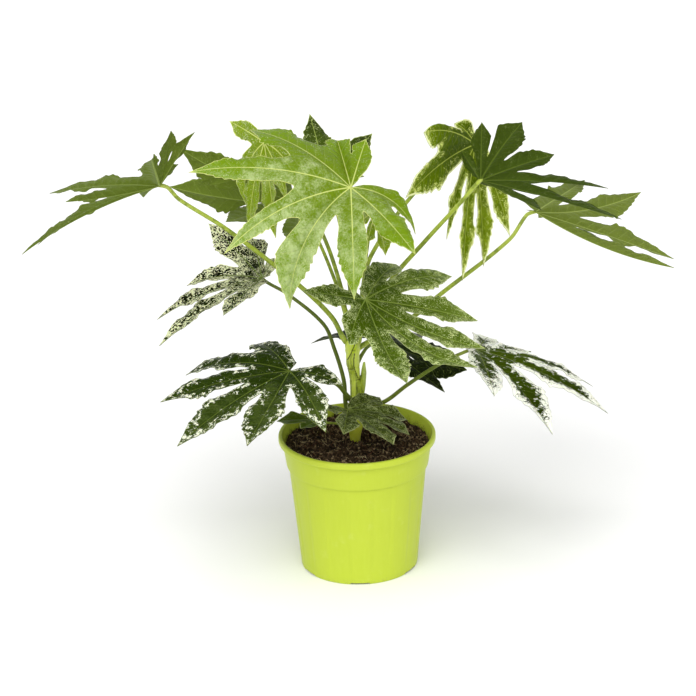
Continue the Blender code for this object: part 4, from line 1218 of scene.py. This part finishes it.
def tooth_row(share, length, phase):
    """Factors on a lobe's half width that cut forward-pointing teeth into its margin."""
    count = 9 if length > 120 else 7 if length > 80 else 5
    turn = (share - TEETH_FROM) / (TEETH_TO - TEETH_FROM) * count
    part = turn % 1.0
    saw = np.where(part < TOOTH_RISE, ease(part / TOOTH_RISE), ease((1 - part) / TOOTH_FALL))
    size = TOOTH_HEIGHT * (0.7 + 0.4 * np.sin(5.3 * np.floor(turn) + phase)) * step_up(0.1, 0.5, share)
    inside = (share > TEETH_FROM) & (share < TEETH_TO)
    return 0.95 + np.where(inside, size * saw, 0.0)


def relief(blade, lobe, along, width, edge, vein, free):
    """How far the blade stands off its bent sheet: folded along the midrib, quilted and rippled."""
    soft = np.sqrt(width ** 2 + RIB_SOFTNESS ** 2) - RIB_SOFTNESS
    lift = (MARGIN_RISE * soft - MARGIN_CURL * soft ** 2) * ease(np.minimum(1, along / FLAT_HUB))
    puff = np.abs(np.sin(math.pi * vein)) ** 0.6
    puff = puff * step_up(0.5, QUILT_FADE, width) * step_up(0.0, QUILT_FADE, edge) * step_up(4.0, 30.0, along)
    outer = np.clip(width / blade.half_widths[lobe], 0, 1.2) ** 3
    ripple = outer * free * np.sin(2 * math.pi * along / RIPPLE_LENGTH + 1.3 * lobe)
    return lift + QUILT_HEIGHT * puff + RIPPLE_HEIGHT * ripple


# %% [markdown]
# One half of a lobe is a grid of flat places. The palm takes the first rows and the free finger the rest.

# %% The grid of one half lobe
PALM_ROWS = 12
LEAST_PALM = 0.3
ROW_SPACING = 2.0
ROW_LEAN = 0.6                # how far back a row starts on the midrib, for each millimetre across
EDGE_SLANT = 0.86             # what a millimetre across counts towards the distance from the margin
COLUMNS = np.array((0, 0.03, 0.07, 0.14, 0.24, 0.36, 0.5, 0.64, 0.78, 0.9, 1.0))
LEAF_APART = 60.0             # each leaf takes its marks from its own layer of the noise


def margin_line(blade, lobe, side, rows, toothed):
    """Along and across from the hub by way of the bay to the tip, where the margin runs."""
    half, reach = blade.sinus(lobe, side)
    palm = np.linspace(0, 1, PALM_ROWS + 1) * reach
    share = np.linspace(0, 1, rows + 1)[1:]
    tooth = tooth_row(share, blade.lengths[lobe], 2.1 * lobe + side) if toothed else 1.0
    along, width = blade.half_width(lobe, side, share, tooth)
    return np.concatenate((palm * math.cos(half), along)), np.concatenate((palm * math.sin(half), width))


def half_lobe(blade, lobe, side, seed):
    """Bent places of one half lobe, with what the finish needs to know about each."""
    length = blade.lengths[lobe]
    rows = max(22, round(length / ROW_SPACING))
    lines = [margin_line(blade, lobe, way, rows, False) for way in (-1, 1)]
    rib = np.mean([along - ROW_LEAN * width for along, width in lines], axis=0)
    palm_end = max(rib[PALM_ROWS], LEAST_PALM * lines[0][0][PALM_ROWS])
    rib[:PALM_ROWS + 1] = np.linspace(0, 1, PALM_ROWS + 1) * palm_end
    edge_along, edge_width = margin_line(blade, lobe, side, rows, True)
    along = rib[:, None] + (edge_along - rib)[:, None] * COLUMNS
    width = edge_width[:, None] * COLUMNS
    half, reach = blade.sinus(lobe, side)
    bay_along, bay_width = reach * math.cos(half), reach * math.sin(half)
    edge = EDGE_SLANT * (edge_width[:, None] - width)
    if 0 <= lobe + side < len(blade.lengths):
        palm_edge = np.hypot(bay_along - along, bay_width - width)
    else:
        palm_edge = along * math.sin(half) - width * math.cos(half)
    edge[:PALM_ROWS + 1] = palm_edge[:PALM_ROWS + 1]
    free = step_up(0.0, 0.4, (along - bay_along) / (length - bay_along))
    vein = (along - VEIN_LEAN * width) / VEIN_SPACING + VEIN_SHIFT * (1 + side) * free
    lift = relief(blade, lobe, along, width, edge, vein, free)
    across = side * width
    twist = blade.twists[lobe] * free
    across, lift = (across * np.cos(twist) - lift * np.sin(twist),
                    across * np.sin(twist) + lift * np.cos(twist))
    radius = np.hypot(along, across)
    angle = blade.angles[lobe] + np.arctan2(across, np.maximum(along, 1e-6))
    phase = 1.7 * lobe + (0.0 if side > 0 else 2.4)
    wave = np.sin(2 * math.pi * along / WAVE_LENGTH + phase) * free * (width / blade.half_widths[lobe]) ** 2
    lift = lift + WAVE_HEIGHT * wave
    places = blade.place(radius, angle) + lift[..., None] * blade.facing(radius, angle)
    layer = np.full_like(radius, LEAF_APART * seed)
    flat = np.stack((radius * np.cos(angle), radius * np.sin(angle), layer), axis=-1)
    fan = np.stack((radius, np.degrees(angle), layer), axis=-1)
    fields = {"flat": flat, "fan": fan, "rib": width, "edge": edge, "vein": vein, "tip": along / length}
    return places, fields


# %% Welding the halves and adding the underside
BLADE_THICKNESS = 0.5
RIB_CORD = 1.3                # how far a midrib stands out under the blade, near the hub
RIB_CORD_WIDTH = 1.4


def blade_mesh(name, leaf, seed):
    """The whole blade as one closed mesh: upper face, underside and the thin rim between them."""
    blade = Blade(leaf)
    places, faces, fields = [], [], {}
    start = 0
    for lobe in range(len(leaf.lobes)):
        for side in (-1, 1):
            grid, values = half_lobe(blade, lobe, side, seed)
            rows, columns = grid.shape[:2]
            quads = np.array(ring_faces(rows, columns, closed=False)) + start
            faces.append(quads if side < 0 else quads[:, ::-1])
            places.append(grid.reshape(-1, 3))
            for key, value in values.items():
                fields.setdefault(key, []).append(value.reshape(rows * columns, -1))
            start += rows * columns
    places = np.concatenate(places)
    _, kept, merged = np.unique(np.round(places, 4), axis=0, return_index=True, return_inverse=True)
    upper = places[kept]
    fields = {key: np.concatenate(value)[kept] for key, value in fields.items()}
    faces = [list(dict.fromkeys(face)) for face in merged.ravel()[np.concatenate(faces)].tolist()]
    faces = [face for face in faces if len(face) > 2]

    corners = np.array([(face[0], face[1], face[2], face[-1]) for face in faces])
    across = upper[corners[:, 2]] - upper[corners[:, 0]]
    other = upper[corners[:, 3]] - upper[corners[:, 1]]
    cross = np.cross(across, other)
    normals = np.zeros_like(upper)
    for corner in range(4):
        np.add.at(normals, corners[:, corner], cross)
    normals /= np.maximum(np.linalg.norm(normals, axis=1, keepdims=True), 1e-9)
    cord = RIB_CORD * np.exp(-(fields["rib"] / RIB_CORD_WIDTH) ** 2) * (1 - fields["tip"]).clip(0, 1) ** 0.7
    lower = upper - normals * (BLADE_THICKNESS + cord)

    count = len(upper)
    edges = dict.fromkeys((a, b) for face in faces for a, b in zip(face, face[1:] + face[:1]))
    rim = [(b, a, a + count, b + count) for a, b in edges if (b, a) not in edges]
    all_faces = faces + [[i + count for i in face[::-1]] for face in faces] + rim
    both = {key: np.concatenate((value, value)).squeeze() for key, value in fields.items()}
    both["under"] = np.repeat((0.0, 1.0), count)
    return make_mesh(name, np.concatenate((upper, lower)), all_faces, both)


# %% [markdown]
# ## Leaf finishes
# All leaves share one recipe: a green ground, a pale haze on it that is partly marbling and partly painted
# sheen, cream flecks that crowd towards the margin, a pale margin, and veins on top. The plant's lower leaves
# are dark and strongly flecked and the young upper ones lime. Thirteen hand-made materials would drift apart,
# so one recipe takes its colours and amounts from a small record for each kind of leaf.


# %% What differs between finishes
class Look(NamedTuple):
    """Colours of one kind of leaf, on the paint chart. Sizes are in millimetres."""
    ground: tuple
    tips: tuple
    # the haze's colour: partly the leaf's pale marbling, partly painted sheen
    haze_and_sheen: tuple             # a pale haze on the ground
    haze_and_sheen_amount: float
    flecks: tuple
    fleck_middle: float       # how dense the flecks are along the midribs, below 0 for hardly any
    fleck_margin: float       # and how dense near the margin
    fleck_size: float
    grain: str                # even, veined along the side veins or streaked out from the hub
    patchiness: float         # how much the flecks gather
    margin: tuple
    margin_width: float
    veins: tuple
    side_veins: float
    underside: tuple
    roughness: float
    shine: float


LOOKS = {
    "lime": Look((102, 128, 0), (110, 140, 0), (180, 196, 134), 0.82, (204, 214, 160), -0.10, 0.10, 1.0,
        "even", 1.4, (214, 222, 130), 0.4, (206, 216, 122), 0.16, (140, 160, 60), 0.24, 0.16),
    "young": Look((112, 136, 10), (126, 150, 16), (176, 190, 110), 0.55, (204, 214, 160), 0.02, 0.20, 0.9,
        "even", 1.4, (210, 220, 124), 0.5, (206, 216, 118), 0.25, (150, 168, 76), 0.28, 0.08),
    "yellow": Look((62, 82, 0), (92, 114, 0), (142, 162, 36), 0.5, (210, 220, 120), -0.10, 0.46, 1.2,
        "even", 1.8, (230, 236, 176), 1.5, (170, 184, 78), 0.2, (92, 108, 10), 0.40, 0.02),
    "olive": Look((70, 90, 12), (44, 58, 6), (128, 146, 58), 0.55, (172, 184, 120), 0.10, 0.26, 1.2,
        "veined", 1.4, (152, 166, 84), 0.5, (150, 168, 80), 0.25, (104, 122, 40), 0.34, 0.06),
    "deep_olive": Look((46, 64, 4), (42, 58, 4), (84, 102, 36), 0.45, (172, 184, 120), 0.10, 0.26, 1.2,
        "veined", 1.4, (96, 112, 40), 0.4, (100, 118, 42), 0.30, (66, 84, 18), 0.34, 0.06),
    "pale_olive": Look((78, 98, 16), (52, 68, 10), (122, 138, 60), 0.5, (172, 184, 120), 0.10, 0.26, 1.2,
        "veined", 1.4, (150, 164, 84), 0.5, (184, 200, 106), 0.25, (126, 142, 58), 0.34, 0.06),
    "mottled": Look((64, 85, 0), (70, 91, 6), (112, 132, 50), 0.5, (196, 208, 140), 0.13, 0.43, 0.95,
        "even", 1.4, (200, 210, 144), 0.4, (140, 160, 70), 0.22, (112, 128, 56), 0.36, 0.05),
    "speckled": Look((18, 26, 2), (6, 8, 2), (70, 86, 36), 0.25, (232, 236, 190), 0.38, 0.56, 0.95,
        "streaked", 1.5, (222, 226, 184), 0.4, (110, 128, 60), 0.12, (106, 118, 62), 0.40, 0.02),
    "dark_flecked": Look((34, 50, 2), (40, 56, 4), (94, 110, 50), 0.45, (240, 242, 218), -0.16, 0.44, 1.2,
        "veined", 3.4, (120, 132, 70), 0.4, (100, 116, 46), 0.25, (84, 98, 38), 0.34, 0.05),
    "white_edged": Look((52, 68, 3), (34, 46, 2), (92, 106, 36), 0.40, (248, 249, 236), 0.02, 0.66, 1.3,
        "veined", 3.0, (240, 242, 228), 9.5, (116, 132, 56), 0.25, (98, 112, 48), 0.40, 0.02),
    "dark": Look((26, 38, 2), (20, 28, 2), (54, 68, 18), 0.5, (112, 124, 66), 0.10, 0.24, 1.2, "veined",
        1.2, (90, 104, 42), 0.4, (84, 100, 36), 0.30, (64, 78, 24), 0.30, 0.05),
    "shaded": Look((78, 98, 14), (84, 106, 18), (102, 120, 40), 0.5, (120, 132, 76), 0.10, 0.24, 1.2,
        "veined", 1.2, (180, 190, 130), 0.5, (116, 134, 52), 0.25, (92, 106, 38), 0.32, 0.06),
    "dusky": Look((54, 66, 10), (58, 70, 14), (92, 106, 42), 0.5, (150, 160, 104), 0.24, 0.46, 1.1,
        "even", 1.6, (166, 174, 118), 0.5, (116, 130, 56), 0.30, (84, 96, 36), 0.36, 0.06),
}


# %% [markdown]
# A young leaf looks frosted, most of all in the middle of the blade and on the side that hangs. The haze
# is large soft clouds with frayed edges, partly pale marbling and partly painted sheen, and a slope across
# the blade makes it gather on one side, where the painted sheen lies on the hanging lobes.

# %% Haze
# the haze gathers on one side of the blade, where its painted sheen lies on the hanging lobes
HAZE_SHEEN_LEAN = -0.0019           # how the haze changes across the blade, for each millimetre
HAZE_END = 0.14               # how much of it is gone at the lobes' tips
HAZE_FRAY = 0.48


def haze_and_sheen_mask(flat, tip, wander):
    frayed = (flat.cloud(2.2, 3.0, 0.7) - 0.5) * HAZE_FRAY
    lean = (flat.axis("X") * 0.8 + flat.axis("Y")) * HAZE_SHEEN_LEAN - tip.rise(0.40, 0.95) * HAZE_END
    haze_sheen_level = flat.cloud(15.0, 3.0, 0.55) * 0.6 + flat.cloud(46.0, 1.0) * 0.3 + 0.05 + frayed + lean
    return haze_sheen_level.rise(0.48, 0.76) * (1.0 - wander.rise(0.46, 0.66) * 0.40)


# %% [markdown]
# The cream marks are patches without green in them. A spray of dots would look printed, so fine noise is
# cut off at a height that depends on the place: lower near the margin, where marks crowd, and lower where
# a second, wider noise says so. On some leaves the marks run along the side veins or out from the hub.

# %% Flecks
MARGIN_ZONE = 13.0            # how far in from the margin the flecks crowd
FLECK_RARE = 0.72             # how strong the grain must be to show as a fleck at density 0
FLECK_GAIN = 0.42             # and how much less at density 1
FAN_STRETCH = (0.30, 0.95, 1.0)   # draws the marks out from the hub
ALONG_VEINS = 0.55            # draws the marks out along the side veins


def fleck_grain(look, flat, fan, vein, rib):
    if look.grain == "streaked":
        return fan.stretch(FAN_STRETCH).cloud(look.fleck_size, 1.0, 0.5)
    if look.grain == "veined":
        across = vein * VEIN_SPACING
        drawn = flat.add("CombineXYZ", None, {0: across, 1: rib * ALONG_VEINS, 2: flat.axis("Z")})
        return drawn.cloud(look.fleck_size, 3.0, 0.6)
    return flat.cloud(look.fleck_size, 1.0, 0.6)


def fleck_mask(look, grain, edge, wander):
    near_margin = 1.0 - edge.rise(0.5, MARGIN_ZONE)
    density = look.fleck_middle + near_margin * (look.fleck_margin - look.fleck_middle)
    density = density + (wander - 0.5) * look.patchiness
    return (grain - FLECK_RARE + density * FLECK_GAIN).rise(-0.008, 0.016)


# %% [markdown]
# Every blade has a thin pale line along its margin. On the whitest leaf it is a broad white border, torn
# on its inner side, narrow near the hub and dotted with small green islands.

# %% Border
BROAD_BORDER = 3.0


def border_mask(look, flat, grain, edge, tip, wander):
    if look.margin_width < BROAD_BORDER:
        return 1.0 - (edge / (look.margin_width * (0.3 + wander * 1.4))).rise(0.75, 1.2)
    torn = look.margin_width * (grain * 1.6 + wander * 1.2 - 0.4) * (tip.rise(0.15, 0.60) * 0.92 + 0.08)
    islands = (flat.cloud(1.7, 2.0, 0.6) + edge * 0.024).rise(0.595, 0.615)
    return (1.0 - (edge / torn).rise(0.92, 1.06)) * (1.0 - islands)


# %% [markdown]
# Midribs are broad pale lines that thin out towards the tips. Side veins leave them at even distances,
# and the fine net between is a Voronoi pattern's cell edges, which meet in threes as real veins do.

# %% Veins
VEIN_MESH = 3.4               # size of the fine net's meshes
RIB_THINNING = 0.62


def vein_masks(flat, rib, edge, vein, tip):
    midrib = 1.0 - (rib / (1.0 - tip * RIB_THINNING)).rise(0.35, 1.0)
    beside = flat.maths("ABSOLUTE", flat.maths("FRACT", vein + 0.5) - 0.5) * VEIN_SPACING * 0.75
    fading = edge.rise(0.5, 6.0) * (1.0 - (rib / 30.0).rise(0.3, 1.0) * 0.5) * tip.rise(0.03, 0.2)
    cells = flat.add("TexVoronoi", {"feature": "DISTANCE_TO_EDGE"},
                     {"Vector": flat, "Scale": 1 / VEIN_MESH}, "Distance")
    return midrib, (1.0 - beside.rise(0.12, 0.55)) * fading, 1.0 - cells.rise(0.015, 0.10)


# %% [markdown]
# The layers are laid over each other as thin coats. The underside is duller and paler, with raised veins,
# and shows the marks of the upper face only faintly. Fine puckers between the veins are a bump.

# %% The leaf recipe
UNDERSIDE_SHOWS = 0.2         # how much of the upper face's marks shows through below


def leaf_finish(name, look):
    made, shader, sheet = new_finish(
        name, Subsurface_Weight=0.12, Subsurface_Radius=(0.7, 1.0, 0.15), Subsurface_Scale=0.0010,
        Specular_IOR_Level=look.shine)
    flat, fan = sheet.field("flat", "Vector"), sheet.field("fan", "Vector")
    rib, edge, vein, tip, under = (sheet.field(key) for key in ("rib", "edge", "vein", "tip", "under"))
    wander = flat.cloud(7.0, 3.0, 0.6)
    grain = fleck_grain(look, flat, fan, vein, rib)
    flecks = fleck_mask(look, grain, edge, wander)
    midrib, side_vein, net = vein_masks(flat, rib, edge, vein, tip)
    colour = sheet.colour(tip.rise(0.25, 0.95), paint(*look.ground), paint(*look.tips)).coats(
        # pale haze: partly marbling, partly painted sheen
        (haze_and_sheen_mask(flat, tip, wander) * look.haze_and_sheen_amount, look.haze_and_sheen),
        (flecks * 0.92, look.flecks),
        (border_mask(look, flat, grain, edge, tip, wander), look.margin),
        (net * 0.10 * look.side_veins, look.veins),
        (side_vein * look.side_veins, look.veins),
        (midrib * 0.9, look.veins))
    below = sheet.colour(UNDERSIDE_SHOWS, paint(*look.underside), colour).coats(
        (side_vein * 0.12 + net * 0.05, look.veins), (midrib * 0.6, look.veins))
    puckers = flat.cloud(5.5, 2.0, 0.5)
    height = net * -0.05 - side_vein * 0.20 - midrib * 0.12 + grain * 0.12 + puckers * 2.0
    height = height * (1.0 - under * 1.5)
    plug(shader, Base_Color=sheet.colour(under, colour, below),
         Roughness=look.roughness + (wander - 0.5) * 0.16 + flecks * 0.08 + under * 0.16,
         Normal=bumped(height))
    return made


finishes = {name: leaf_finish("leaf " + name.replace("_", " "), look) for name, look in LOOKS.items()}
print("leaf finishes:", ", ".join(finishes))

# %% All blades
triangles = 0
for number, (name, leaf) in enumerate(LEAVES.items()):
    mesh = blade_mesh("leaf_" + name, leaf, number)
    make_piece("leaf_" + name, mesh, finishes[leaf.finish], "blade_" + name)
    size = sum(len(face.vertices) - 2 for face in mesh.polygons)
    triangles += size
    print("leaf", name, size)
print("blades have", triangles, "triangles")

# %% [markdown]
# ## Does it still fit its frame?
# The dressed plant must not be larger than the imported model, so both boxes are measured, and how far
# the dressed one reaches past the imported one at each corner is printed.

# %% Sizes and the last line
low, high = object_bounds()
sizes = {"cad": [list(cad_low), list(cad_high)], "visual": [list(low), list(high)]}
print("grown at the low corner by", [round((a - b) / MM, 1) for a, b in zip(cad_low, low)], "mm")
print("grown at the high corner by", [round((b - a) / MM, 1) for a, b in zip(cad_high, high)], "mm")
